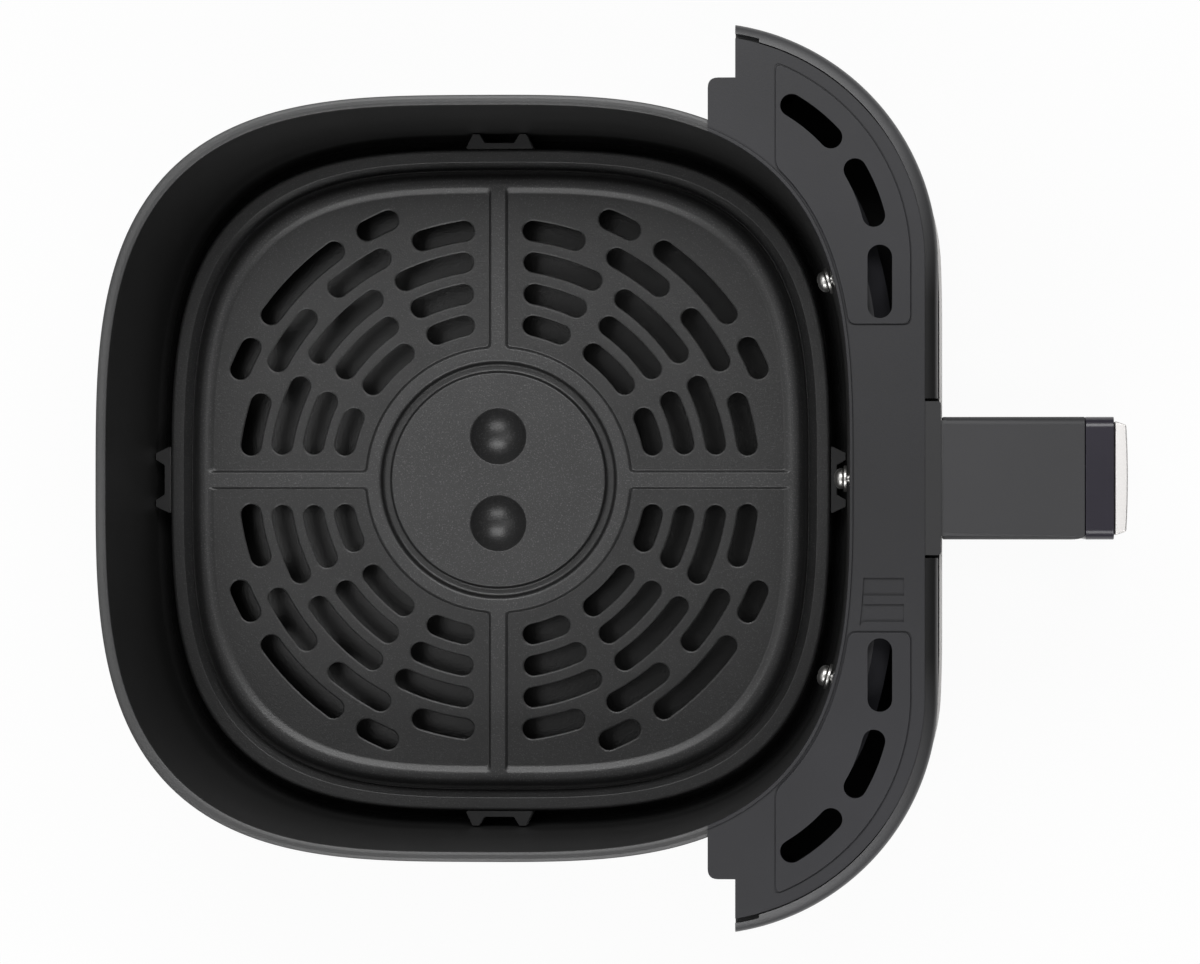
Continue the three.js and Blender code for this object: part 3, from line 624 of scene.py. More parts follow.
# plain white for the eye and for reflections, and the world's soft light for everything else
def makeWorld():
    world = bpy.data.worlds.new("studio")
    world.use_nodes = True
    scene.world = world
    tree = world.node_tree
    path = tree.nodes.new("ShaderNodeLightPath").outputs
    level = studio["world"]
    for ray, seen in (("Is Glossy Ray", studio["mirrored"]), ("Is Transmission Ray", studio["mirrored"]),
                      ("Is Camera Ray", 1.0)):
        level = remap(tree, path[ray], 0, 1, level, seen)
    background = tree.nodes["Background"]
    background.inputs["Color"].default_value = (1, 1, 1, 1)
    tree.links.new(level, background.inputs["Strength"])


def makeFloor():
    bm = bmesh.new()
    bmesh.ops.create_grid(bm, x_segments=1, y_segments=1, size=studio["floorSize"] / 2 / mm,
                          matrix=Matrix.Translation((0, 0, -studio["floorDrop"] / mm)))
    floor = finishMesh(bm, "floor", recalc=False)
    material, surface = newFinish("floor", {"Roughness": 0.9})
    shade = studio["floorColor"]
    tree = material.node_tree
    grain = useGroup(material, grainGroup, Grain=40, Cloud=1.5)
    tint(material, grain["Tone"], (shade * 0.985,) * 3, (shade,) * 3)
    path = tree.nodes.new("ShaderNodeLightPath").outputs
    seen = compute(tree, "MAXIMUM", path["Is Camera Ray"], path["Is Glossy Ray"])
    glow = tree.nodes.new("ShaderNodeEmission")
    sockets = {"Fac": compute(tree, "MULTIPLY", seen, studio["floorGlow"]),
               1: surface.outputs[0], 2: glow.outputs[0]}
    mix = addNode(tree, "ShaderNodeMixShader", sockets)
    tree.links.new(mix.outputs[0], tree.nodes["Material Output"].inputs["Surface"])
    dress(floor, material)


makeCamera()
makeLights()
makeWorld()
makeFloor()
scene.view_settings.view_transform = "Standard"
print("studio made")


# pan

panShape = {
    "wall": 1.2,
    "draft": 1.3,         # degrees
    "floorRadius": 12.0,
    "rimWidth": 3.2,
    "rimDepth": 3.6,
    "rimRound": 0.45,
    "rimCrown": 0.24,     # rise of the rim's top from its edges to its middle
    "rimSoft": 1.2,       # radius beside the crown
    "rimTuck": 0.5,       # radius of the corners under the rim
    "rings": (40, 70, 95),  # heights at which the wall has a ring of vertices
    "screwDrop": 24.0,    # screws below the top edge
    "screwSide": 62.3,    # outer screws from the middle
    "hole": 4.6,
}
rimHalf, panHeight = panHigh.x, panHigh.z


def panInner(z):
    return rimHalf - panShape["rimWidth"] - (panHeight - z) * tan(radians(panShape["draft"]))


panCorner = panShape["wall"] + panShape["floorRadius"]
panFlat = panInner(panCorner) - panShape["floorRadius"]
panScrewHeight = panHeight - panShape["screwDrop"]


# places of the three screws through the pan's front wall, with the wall's turn there
def panScrewPlaces():
    n = common["squareness"]
    half = panInner(panScrewHeight)
    for side in (0, 1, -1):
        y = side * panShape["screwSide"]
        x = squareDepth(half, y)
        turned = atan2(((abs(y) / half) ** (n - 1)) * side, (x / half) ** (n - 1))
        yield Matrix.Translation((x, y, panScrewHeight)) @ Matrix.Rotation(turned, 4, "Z") \
            @ Matrix.Rotation(pi / 2, 4, "Y")


def makePan():
    wall, radius, round_ = panShape["wall"], panShape["floorRadius"], panShape["rimRound"]
    rimInner, under = rimHalf - panShape["rimWidth"], panHeight - panShape["rimDepth"]
    inside = arc(panFlat, panCorner, radius, -90, 0, 10)
    walls = [(panInner(z), z) for z in (*panShape["rings"], panHeight - 3)]
    soft, tuck = panShape["rimSoft"], panShape["rimTuck"]
    crown, third = panHeight - panShape["rimCrown"], panShape["rimWidth"] / 3
    rim = rounded([(*walls[-1], 0), (rimInner, crown, round_), (rimInner + third, panHeight, soft),
                   (rimHalf - third, panHeight, soft), (rimHalf, crown, round_),
                   (rimHalf, under, tuck), (panInner(under) + wall, under, tuck),
                   (panInner(under - 4) + wall, under - 4, 0)], 6)
    outside = [(panInner(z) + wall, z) for z in panShape["rings"][1::-1]]
    corner = arc(panFlat, panCorner, radius + wall, 0, -90, 10)
    profile = ([(0, wall), (panFlat * 0.5, wall), (panFlat * 0.96, wall)] + inside + walls[:-1] + rim
               + outside + corner + [(panFlat * 0.96, 0), (panFlat * 0.5, 0), (0, 0)])
    pan = squarePiece(profile, common["turnSteps"], "frying_pan")
    holes = [rod(panShape["hole"], -6, 6, matrix, 24) for matrix in panScrewPlaces()]
    combine(pan, holes, "DIFFERENCE")
    pan.data.shade_smooth()
    return place(pan, "pan_coating", "pan")


makePan()
print("pan made")


# crisper plate

plateShape = {
    "sheet": 1.2,
    "lipDrop": 4.0,        # lip below the crest
    "lipWidth": 4.2,
    "grooveWidth": 0.3,
    "grooveSide": 2.6,     # from the lip's edge down to the groove's bottom
    "grooveDepth": 2.0,
    "flankWidth": 4.7,
    "crestWidth": 0.6,
    "quadrantDrop": 0.72,
    "quadrantCorner": 1.7,
    "ribWidth": 4.3,       # of a rib's flat top
    "ribSlope": 1.05,      # from a rib's top down to a slotted field
    "crestSlope": 2.5,
    "ringSlope": 1.1,
    "slopeSteps": 8,
    "slopeEase": 0.2,      # share of a slope that eases into the flat at either end
    "discRadius": 35.0,
    "discGrooveWidth": 3.4,
    "discGrooveDepth": 3.0,
    "ringWidth": 4.3,
    "ringFlat": 2.2,       # from the groove's edge to the middle of the ring
    "ringSteps": 160,
    "dimpleRadius": 9.2,
    "dimpleDepth": 5.4,
    "dimpleOffset": 14.2,
    "dimpleRound": 0.4,
    "lipRounds": (1.1, 0.4, 0.8),            # the lip's corners and the foot of its slope
    "discRounds": (1.3, 1.2, 1.0, 0.6),      # corners of the disc's groove, from the outside in
    "discGrooveLean": 0.2,
    "edgeRound": 0.3,
    "rollWidth": 0.6,      # edge of a slot, eased downwards
    "rollDepth": 0.25,
    "slotWidth": 6.5,
    "slotStart": 51.6,     # radius of the innermost arc of slots
    "slotPitch": 10.16,
    "slotSteps": (6, 9),   # along a slot's sides and round its ends
    "slots": [             # per arc: [angle, length] in the eighth next to a rib
        [(17.8, 15.9), (45, 21)],
        [(17.6, 21.1), (45, 26.2)],
        [(17.2, 26.5), (45, 31.5)],
        [(12.8, 20.7), (34, 23.4)],
        [(25.5, 14.4), (45, 35.9)],
    ],
}
plateHalf, plateCrest = plateHigh.x, plateHigh.z
plateLip = plateCrest - plateShape["lipDrop"]
lipInner = plateHalf - plateShape["lipWidth"]
grooveInner = lipInner - plateShape["grooveSide"] - plateShape["grooveWidth"]
crestOuter = grooveInner - plateShape["flankWidth"]
fieldTop = plateCrest - plateShape["quadrantDrop"]
support = 0.15  # a narrow flat strip beside each rounding, which keeps flats flat


# a loop round the slotted field that lies across +X: inwards of the ribs' middle lines by one
# distance and of the crest and the ring by others, with rounded corners
def fieldLoop(edge, half, inner, reach):
    start, innerStart = atan2(edge, squareDepth(half, edge)), asin(edge / inner)
    near, far_ = sqrt(inner ** 2 - edge ** 2), squareDepth(half, edge)

    def crestSide(t):
        angle = start + (pi / 2 - 2 * start) * t
        return half * squareReach(angle) * cos(angle), half * squareReach(angle) * sin(angle)

    def ringSide(t):
        angle = pi / 2 - innerStart - (pi / 2 - 2 * innerStart) * t
        return inner * cos(angle), inner * sin(angle)

    sides = [straight((near, edge), (far_, edge)), crestSide,
             straight((edge, far_), (edge, near)), ringSide]
    quarter = common["turnSteps"] // 4
    points = cornered(sides, reach, (16, quarter, 16, plateShape["ringSteps"] // 4))
    turned = Matrix.Rotation(-pi / 4, 2)
    return [tuple(turned @ Vector(point)) for point in points]


# the same loop part of the way down the slopes of the ribs, the crest and the ring, or set in
def fieldOutline(part, inset=0):
    s = plateShape
    crest = crestOuter - s["crestWidth"] - s["crestSlope"] * part
    ring_ = s["discRadius"] + s["discGrooveWidth"] + s["ringWidth"] + s["ringSlope"] * part
    return fieldLoop(s["ribWidth"] / 2 + s["ribSlope"] * part + inset, crest - inset, ring_ + inset,
                     s["quadrantCorner"] - part * 0.5)


# share of a slope's fall at a share of its width: straight, with eased ends
def slopeFall(part):
    ease = plateShape["slopeEase"]
    if part < ease:
        return part ** 2 / (2 * ease * (1 - ease))
    if part > 1 - ease:
        return 1 - (1 - part) ** 2 / (2 * ease * (1 - ease))
    return (part - ease / 2) / (1 - ease)


# outline of one of the plate's slots, grown by a distance
def slotOutline(radius, middle, length, grow):
    width = plateShape["slotWidth"]
    half = degrees((length - width) / 2 / radius)
    return arcSlot(0, 0, radius, middle - half, middle + half, width + 2 * grow, *plateShape["slotSteps"])


# every slot's radius, angle and length in the field across +X
def slotPlaces():
    for i, row in enumerate(plateShape["slots"]):
        radius = plateShape["slotStart"] + i * plateShape["slotPitch"]
        for angle, length in row:
            for side in ((1, -1) if angle < 45 else (1,)):
                yield radius, (angle - 45) * side, length


def makeCrisperPlate():
    s = plateShape
    bm = bmesh.new()

    grooveTop, lipRounds = plateLip - s["grooveDepth"], s["lipRounds"]
    plateau = crestOuter - support
    disc, ringInner = s["discRadius"], s["discRadius"] + s["discGrooveWidth"]
    profile = rounded([
        (plateHalf, plateLow.z, 0), (plateHalf, plateLip, lipRounds[0]), (lipInner, plateLip, lipRounds[1]),
        (lipInner - s["grooveSide"], grooveTop, lipRounds[2]), (grooveInner, grooveTop, 0),
    ], steps=4)
    for i in range(1, 12):
        angle = pi / 2 * i / 11
        profile.append((crestOuter + s["flankWidth"] * cos(angle),
                        grooveTop + (plateCrest - grooveTop) * sin(angle)))
    turn(bm, profile + [(plateau, plateCrest)], common["turnSteps"])
    pressSquare(bm.verts)

    seam = fieldLoop(1e-4, plateau, ringInner + s["ringFlat"], 1e-3)
    levels = [(seam, plateCrest), (fieldOutline(0, -support), plateCrest)]
    for i in range(s["slopeSteps"] + 1):
        part = i / s["slopeSteps"]
        levels.append((fieldOutline(part), plateCrest - s["quadrantDrop"] * slopeFall(part)))
    levels.append((fieldOutline(1, support), fieldTop))
    outsideOfField = set(bm.verts)
    _, fieldEdges = stackRings(bm, levels)
    rolls = [(s["rollWidth"] * (1 - i / 3), s["rollDepth"] * (i / 3) ** 1.6) for i in range(4)]
    for radius, middle, length in slotPlaces():
        mouth, _ = stackRings(bm, [(slotOutline(radius, middle, length, grow), fieldTop - fall)
                                   for grow, fall in rolls])
        fieldEdges += mouth
    fill(bm, fieldEdges)
    field = [vert for vert in bm.verts if vert not in outsideOfField]
    geometry = field + touching(field, "link_faces")
    bmesh.ops.rotate(bm, verts=field, cent=(0, 0, 0), matrix=Matrix.Rotation(pi / 4, 3, "Z"))
    for quarter in (1, 2, 3):
        copy = bmesh.ops.duplicate(bm, geom=geometry)["geom"]
        bmesh.ops.rotate(bm, verts=vertsOf(copy), cent=(0, 0, 0),
                         matrix=Matrix.Rotation(quarter * pi / 2, 3, "Z"))

    discGroove = plateCrest - s["discGrooveDepth"]
    lean, (first, second, third, fourth) = s["discGrooveLean"], s["discRounds"]
    levels = rounded([
        (ringInner + s["ringFlat"], plateCrest, 0), (ringInner, plateCrest, first),
        (ringInner - lean, discGroove, second), (disc + lean, discGroove, third), (disc, plateCrest, fourth),
        (disc - 1.0, plateCrest, 0), (disc - 1.4, plateCrest, 0),
    ], steps=5)
    _, inner = stackRings(bm, [(arc(0, 0, radius, 0, 360, s["ringSteps"])[:-1], z) for radius, z in levels])

    deep, wide = s["dimpleDepth"], s["dimpleRadius"]
    bowl = (wide ** 2 + deep ** 2) / (2 * deep)
    centre = plateCrest + bowl - deep
    edge = degrees(asin((plateCrest - centre) / bowl))
    bowlProfile = rounded([(wide + 0.9, plateCrest, 0), (wide + 0.5, plateCrest, 0),
                           (wide, plateCrest, s["dimpleRound"]),
                           *[(r, z, 0) for r, z in arc(0, centre, bowl, edge, -90, 14)[1:]]])
    for y in (s["dimpleOffset"], -s["dimpleOffset"]):
        before = set(bm.verts)
        turn(bm, [(max(r, 0), z) for r, z in bowlProfile], 64)
        added = [vert for vert in bm.verts if vert not in before]
        bmesh.ops.translate(bm, verts=added, vec=(0, y, 0))
        inner += [item for item in touching(added, "link_edges") if item.is_boundary]
    fill(bm, inner)

    bmesh.ops.remove_doubles(bm, verts=bm.verts, dist=0.01)
    bmesh.ops.recalc_face_normals(bm, faces=bm.faces)
    lid = max(bm.faces, key=lambda face: face.calc_center_median().z)
    if lid.normal.z < 0:
        bmesh.ops.reverse_faces(bm, faces=bm.faces)
    plate = finishMesh(bm, "slotted_plate", recalc=False)
    shell = plate.modifiers.new("sheet", "SOLIDIFY")
    shell.thickness = s["sheet"] * mm
    shell.offset = -1
    settle(plate)
    soften(plate, s["edgeRound"], 2, 55)
    return place(plate, "plate_coating", "crisper_plate", "crisper")


makeCrisperPlate()
print("crisper plate made")


# bumpers

bumperShape = {
    "width": 21.6,
    "height": 6.4,         # of the outer pad
    "clip": 2.0,           # tongue inside the plate's skirt
    "footLength": 4.0,
    "footWidth": 12.0,
    "toothSpread": 15.4,
    "toothTip": 2.2,
    "toothDepth": 2.9,
    "toothFlank": 1.8,
    "footCurve": (-75, -20),
    "edgeRound": 0.35,
    "sides": ("front", "left", "back", "right"),
}


def bumperBlank():
    s, gap, sheet = bumperShape, common["gap"], plateShape["sheet"]
    reach = panInner(plateLip - s["height"]) - gap
    skirtOuter, skirtInner = plateHalf + gap, plateHalf - sheet - gap
    clipInner, footStart = skirtInner - s["clip"], panFlat - s["footLength"]
    footBottom, padBottom = panShape["wall"] + gap, plateLip - s["height"]
    seat, top = plateLow.z - gap, plateLip - 0.5
    footTop = footBottom + (seat - footBottom) / 2
    clipTop = plateLip - sheet - plateShape["grooveDepth"] - gap
    side = [
        (footStart, footBottom), (panFlat, footBottom),
        *arc(panFlat, panCorner, panShape["floorRadius"] - 2 * gap, *s["footCurve"], 8),
        (reach, padBottom), (reach, top), (skirtOuter, top), (skirtOuter, seat), (skirtInner, seat),
        (skirtInner, clipTop), (clipInner, clipTop), (clipInner, footTop + 1), (footStart, footTop),
    ]
    half, foot = s["width"] / 2, s["footWidth"] / 2
    tip, inner = (s["toothSpread"] + s["toothTip"]) / 2, (s["toothSpread"] - s["toothTip"]) / 2
    back, shoulder = reach - s["toothDepth"], inner - s["toothFlank"]
    halfPlan = [(back, shoulder), (reach, inner), (reach, tip), (skirtOuter + 0.5, half),
                (clipInner - 0.5, half), (clipInner - 0.5, foot), (footStart, foot)]
    plan = halfPlan + [(x, -y) for x, y in reversed(halfPlan)]
    band = bmesh.new()
    prism(band, side, -s["width"], s["width"])
    bmesh.ops.rotate(band, verts=band.verts, cent=(0, 0, 0), matrix=Matrix.Rotation(pi / 2, 3, "X"))
    blank = prismPiece(plan, 0, plateCrest, "bumper_pad")
    combine(blank, [finishMesh(band, "band")], "INTERSECT")
    return soften(clean(blank), s["edgeRound"], 3, 25)


def makeBumpers():
    blank = bumperBlank()
    for i, side in enumerate(bumperShape["sides"]):
        mesh = blank.data.copy()
        mesh.transform(Matrix.Rotation(i * pi / 2, 4, "Z"))
        pad = bpy.data.objects.new("silicone_pad_" + side, mesh)
        scene.collection.objects.link(pad)
        place(pad, "silicone", "bumper_" + side, "crisper")
    bpy.data.objects.remove(blank)


makeBumpers()
print("bumpers made")


# fascia: insert, shell and stainless front

fasciaShape = {
    "corner": 74.2,         # radius of its corners, seen from above
    "side": 22.3,           # from the pan's rim to the widest point of the corner arcs
    "wing": 62.5,           # from the front face back to the shell's rear edge
    "wall": 2.6,
    "floor": 2.5,
    "floorGap": 6.0,        # round the pan
    "shoulderWidth": 4.0,
    "shoulderHeight": 5.0,
    "shoulder": [(1, 0), (0.8, 0.035), (0.6, 0.085), (0.4, 0.15), (0.24, 0.23), (0.12, 0.35),
                 (0.03, 0.55), (0, 0.8), (0, 1)],    # shares of its width and height, from the top
    "tipSlit": (2.9, 7.4),  # inset and length of the slit at the wings' tips
    "tipFloor": 0.8,        # the slit's bottom above the shoulder's lower edge
    "inset": 0.006,         # keeps rounded corners inside the drawn box
    "cornerSteps": 56,
    "edgeRound": 0.35,
}
fasciaReach, fasciaTop, fasciaBottom = shellHigh.x, shellHigh.z, shellLow.z
fasciaCentreX = fasciaReach - fasciaShape["corner"]
fasciaFlat = rimHalf + fasciaShape["side"] - fasciaShape["corner"]
fasciaBack = fasciaReach - fasciaShape["wing"]


# the fascia seen from above, set in by a distance, closed by a straight line at the back
def fasciaOutline(inset, back):
    radius = fasciaShape["corner"] - inset
    end = degrees(acos((back - fasciaCentreX) / radius))
    steps = fasciaShape["cornerSteps"]
    return (arc(fasciaCentreX, -fasciaFlat, radius, -end, 0, steps)
            + arc(fasciaCentreX, fasciaFlat, radius, 0, end, steps))


def fasciaBlock(inset, back, low, high):
    return prismPiece(fasciaOutline(inset, back), low, high)


insertShape = {
    "sheet": 2.5,
    "lipThickness": 1.4,
    "bead": 1.1,            # raised edge along the pan's rim
    "beadGap": 0.6,         # groove between the bead and the platforms
    "seam": (0.05, 0.3),    # gap to the shell in front and on the wings
    "seamTurn": (28, 42),   # degrees of the corner arcs between the two
    "tongueSide": 4.9,
    "tongueRound": 3.2,
    "platformRise": 0.8,
    "platformInset": 8.4,
    "platformStart": 12.4,
    "platformEnd": 47.5,
    "platformRound": 2.6,
    "moat": (0.35, 0.3),    # width and depth of the line round a platform
    "seamStep": 0.1,        # small steps where two parts of the moulding meet
    "apronGap": 0.5,
    "apronFlare": 9.0,
    "apronFlareHeight": 9.0,
    "apronWall": 2.0,
    "post": 8.4,
    "postGap": 0.9,
    "postAngles": (10.5, 68),
    "boss": 10.0,
    "ventWidth": 7.1,
    "ventInset": 18.0,
    "curvedVents": ((42.8, 58.8), (14.4, 30)),
    "straightVentWidth": 7.6,
    "straightVentInset": 17.9,
    "straightVentSpan": (53.1, 68.2),
    "pocketSpan": (-44.3, -30.7),
    "pocketInset": 10.5,
    "pocketLength": 14.7,
    "pocketDepth": 1.0,
    "pocketRib": 2.6,
    "pocketMouth": 2.2,
    "edgeRound": 0.3,
    "sharpFrom": 25,
}
insertTop = fasciaTop - insertShape["platformRise"]
insertBottom = insertTop - insertShape["sheet"]
apronTopHalf = rimHalf + insertShape["apronGap"]
apronBottom = fasciaBottom + fasciaShape["floor"] + common["gap"]
tongueBack, tongueHalf = insertLow.x, rimHalf + insertShape["tongueSide"]
far = 220.0  # reach of cutting blocks; where one only has to clear a face, it ends 1 mm or more past it


# places of the upright screws that hold the shell to the insert's posts
def shellScrewPlaces():
    s = insertShape
    radius = fasciaShape["corner"] - fasciaShape["shoulderWidth"] - s["postGap"] - s["post"] / 2
    for angle in s["postAngles"]:
        x = fasciaCentreX + radius * cos(radians(angle))
        y = fasciaFlat + radius * sin(radians(angle))
        yield x, y
        yield x, -y


def upright(x, y):
    return Matrix.Translation((x, y, 0))


# the insert's outer line: close to the shell in front and further from it on the wings
def insertOutline(inset):
    (near, wide), (first, last) = insertShape["seam"], insertShape["seamTurn"]
    points = []
    for x, y in fasciaOutline(0, fasciaBack - 2):
        centre = Vector((fasciaCentreX, fasciaFlat if y > 0 else -fasciaFlat))
        away = Vector((x, y)) - centre
        turned = abs(degrees(atan2(away.y, away.x)))
        share = min(1, max(0, (turned - first) / (last - first)))
        width = inset + fasciaShape["shoulderWidth"] + near + (wide - near) * share
        points.append(tuple(centre + away * (1 - width / away.length)))
    return points


# what the insert covers, seen from above, as a block between two heights, set in by a distance
def insertFootprint(hole, low, high, inset=0):
    c = insertShape["tongueRound"]
    wide = prismPiece(insertOutline(inset), low, high)
    combine(wide, [boxPiece((fasciaBack + inset, -far, low - 1), (far, far, high + 1))], "INTERSECT")
    back, front, half = tongueBack + inset, fasciaBack + 8, tongueHalf - inset
    sides = [straight((back, half), (back, -half)), straight((back, -half), (front, -half)),
             straight((front, -half), (front, half)), straight((front, half), (back, half))]
    combine(wide, [prismPiece(cornered(sides, c, (2, 2, 2, 2)), low, high)], "UNION")
    return combine(wide, [squareBlock(hole, low - 1, high + 1)], "DIFFERENCE")


# outline of the raised platform round the vents of one wing, grown by a distance
def platformOutline(grow):
    s = insertShape
    inner = rimHalf - panShape["rimWidth"] + s["bead"] + s["beadGap"] - grow
    back, end = fasciaBack + s["platformStart"] - grow, s["platformEnd"] - grow
    radius = fasciaShape["corner"] - s["platformInset"] + grow
    sweep = acos((back - fasciaCentreX) / radius)
    outerX = fasciaCentreX + radius
    innerBack = inner * (1 - (back / inner) ** common["squareness"]) ** (1 / common["squareness"])
    startAngle, endAngle = atan2(end, squareDepth(inner, end)), atan2(innerBack, back)

    def outerSide(t):
        flat, curve = fasciaFlat - end, radius * sweep
        run = t * (flat + curve)
        if run < flat:
            return outerX, end + run
        angle = (run - flat) / radius
        return fasciaCentreX + radius * cos(angle), fasciaFlat + radius * sin(angle)

    def innerSide(t):
        angle = endAngle + (startAngle - endAngle) * t
        reach = inner * squareReach(angle)
        return reach * cos(angle), reach * sin(angle)

    sides = [straight((squareDepth(inner, end), end), (outerX, end)), outerSide,
             straight((back, fasciaFlat + radius * sin(sweep)), (back, innerBack)), innerSide]
    return cornered(sides, s["platformRound"], (4, 60, 6, 60))


# block of the platform's outline with a rounded upper edge
def platformPiece(grow, low, high, edge):
    steps = 3
    levels = [(platformOutline(grow), low)]
    for i in range(steps + 1):
        angle = pi / 2 * i / steps
        levels.append((platformOutline(grow - edge * (1 - cos(angle))), high - edge * (1 - sin(angle))))
    bm = bmesh.new()
    for loop in stackRings(bm, levels):
        bmesh.ops.edgeloop_fill(bm, edges=loop)
    return finishMesh(bm, "platform")


def ventPieces():
    s = insertShape
    low, high = insertBottom - 2, fasciaTop + 2
    radius = fasciaShape["corner"] - s["ventInset"]
    outlines = [arcSlot(fasciaCentreX, fasciaFlat, radius, *span, s["ventWidth"])
                for span in s["curvedVents"]]
    x, half = fasciaReach - s["straightVentInset"], s["straightVentWidth"] / 2
    near, away = s["straightVentSpan"]
    outlines.append(arc(x, away, half, 0, 180, 14) + arc(x, near, half, 180, 360, 14))
    return [prismPiece(outline, low, high, "vent") for outline in outlines]


def insertWalls():
    s = insertShape
    low, high, step = apronBottom, insertTop - 1, tongueHalf - s["apronWall"]
    return [
        boxPiece((fasciaBack, step, low), (fasciaBack + s["apronWall"], far, high)),
        boxPiece((tongueBack, step, low), (fasciaBack + 1, tongueHalf, high)),
        boxPiece((tongueBack, 0, low), (tongueBack + s["apronWall"], tongueHalf, high)),
    ]


def pocketPiece():
    s = insertShape
    low, high = s["pocketSpan"]
    front = fasciaReach - s["pocketInset"]
    back, mouth = front - s["pocketLength"], s["pocketMouth"]
    outline = [(back, low - mouth), (back + mouth, low), (front, low), (front, high),
               (back + mouth, high), (back, high + mouth)]
    pocket = prismPiece(outline, insertTop - s["pocketDepth"], far, "pocket")
    middle, half = (low + high) / 2, s["pocketRib"] / 2
    rib = boxPiece((back + mouth, middle - half, 0), (front + 1, middle + half, insertTop))
    return combine(pocket, [rib, squareBlock(apronTopHalf + s["apronWall"] / 2, 0, far)], "DIFFERENCE")


def makeInsert():
    s, gap = insertShape, common["gap"]
    beadInner, lipBottom = rimHalf - panShape["rimWidth"], fasciaTop - s["lipThickness"]
    beadOuter, step = beadInner + s["bead"], s["seamStep"]
    wide, low = apronTopHalf + s["apronFlare"], insertTop - s["apronFlareHeight"]
    insert = insertFootprint(beadInner + step, insertBottom, insertTop)
    insert.name = "fascia_lining"
    combine(insert, [squareBlock(apronTopHalf, 0, lipBottom)], "DIFFERENCE")

    edge = s["edgeRound"]
    bead = squarePiece(rounded([
        (beadInner, lipBottom + step, 0), (beadOuter, lipBottom + step, 0), (beadOuter, fasciaTop, edge),
        (beadInner, fasciaTop, edge), (beadInner, lipBottom + step, 0),
    ], steps=3), common["turnSteps"])
    combine(bead, [boxPiece((tongueBack + step, -far, 0), (far, far, far))], "INTERSECT")
    wall, under, high = s["apronWall"], apronTopHalf + step, insertTop - 1
    apron = squarePiece([(under, high), (wide, low), (wide, apronBottom), (wide + wall, apronBottom),
                         (wide + wall, low), (under + wall, high), (under, high)],
                        common["turnSteps"] // 2)
    walls = insertWalls()
    walls += [mirrorPiece(piece) for piece in walls]
    combine(apron, walls, "UNION")
    combine(apron, [insertFootprint(apronTopHalf, apronBottom - 1, insertTop, step)], "INTERSECT")

    bossStart = panShape["wall"] + 2 * gap + spacerShape["thickness"]
    bosses = rod(s["boss"], bossStart, 12, next(panScrewPlaces()), 40)
    rest = [rod(s["boss"], bossStart, 12, matrix, 40) for matrix in list(panScrewPlaces())[1:]]
    combine(bosses, rest, "UNION")
    combine(bosses, [squareBlock(wide + wall / 2, 0, far)], "INTERSECT")
    posts = [rod(s["post"], apronBottom, insertTop - 1, upright(x, y)) for x, y in shellScrewPlaces()]
    combine(insert, [bead, apron, bosses, *posts], "UNION")
    width, depth = s["moat"]
    moat = platformPiece(width, insertTop - depth, fasciaTop + 1, step)
    platform = platformPiece(0, insertTop - depth - step, fasciaTop, edge)
    combine(insert, [moat, mirrorPiece(moat)], "DIFFERENCE")
    combine(insert, [mirrorPiece(platform), platform], "UNION")

    vents = ventPieces()
    vents += [mirrorPiece(piece) for piece in vents]
    holes = [rod(screwHole, -12, 24, matrix) for matrix in panScrewPlaces()]
    holes += [rod(screwHole, 0, fasciaBottom + 15, upright(x, y)) for x, y in shellScrewPlaces()]
    combine(insert, vents + [pocketPiece()] + holes, "DIFFERENCE")
    clean(insert).data.set_sharp_from_angle(angle=radians(s["sharpFrom"]))
    evenOut(insert)
    return place(insert, "fascia_moulding", "fascia_insert")


# places of the lying screws through the front, turned to look along +X
def handleScrewPlaces():
    s = handleShape
    for z in (handleTop - s["screwTop"], handleBottom + s["screwBottom"]):
        for y in (s["screwSide"], -s["screwSide"]):
            yield lying(0, y, z)


def lying(x, y, z):
    return Matrix.Translation((x, y, z)) @ Matrix.Rotation(pi / 2, 4, "Y")


panelShape = {
    "thickness": 1.0,
    "half": 83.0,
    "bottomEdge": 6.0,
    "proudHalf": 48.0,      # from here outwards the sheet bends back until it's flush with the shell
    "edgeRound": 0.25,
}


# the stainless sheet that wraps the front, grown by a distance on all sides
def panelPiece(grow):
    s, gap = panelShape, common["gap"]
    sweep = degrees(asin((s["half"] - fasciaFlat) / fasciaShape["corner"]))
    angles = [sweep * i / 10 for i in range(11)]
    line = [(fasciaCentreX, -fasciaFlat, -angle) for angle in reversed(angles)]
    line += [(fasciaCentreX, -fasciaFlat + 2 * fasciaFlat * i / 60, 0) for i in range(1, 60)]
    line += [(fasciaCentreX, fasciaFlat, angle) for angle in angles]
    outer, inner = [], []
    for x, y, angle in line:
        away = Vector((cos(radians(angle)), sin(radians(angle))))
        point = Vector((x, y)) + away * fasciaShape["corner"]
        bend = max(0, (abs(point.y) - s["proudHalf"]) / (s["half"] - s["proudHalf"]))
        proud = (gap + s["thickness"]) * (1 - bend ** 2)
        outer.append(tuple(point + away * (proud + grow)))
        inner.append(tuple(point + away * (proud - s["thickness"] - grow)))
    low = fasciaBottom + s["bottomEdge"] - grow
    high = handleTop - handleShape["rootHeight"] - 2 * gap + grow
    return prismPiece(outer + inner[::-1], low, high, "stainless_front")


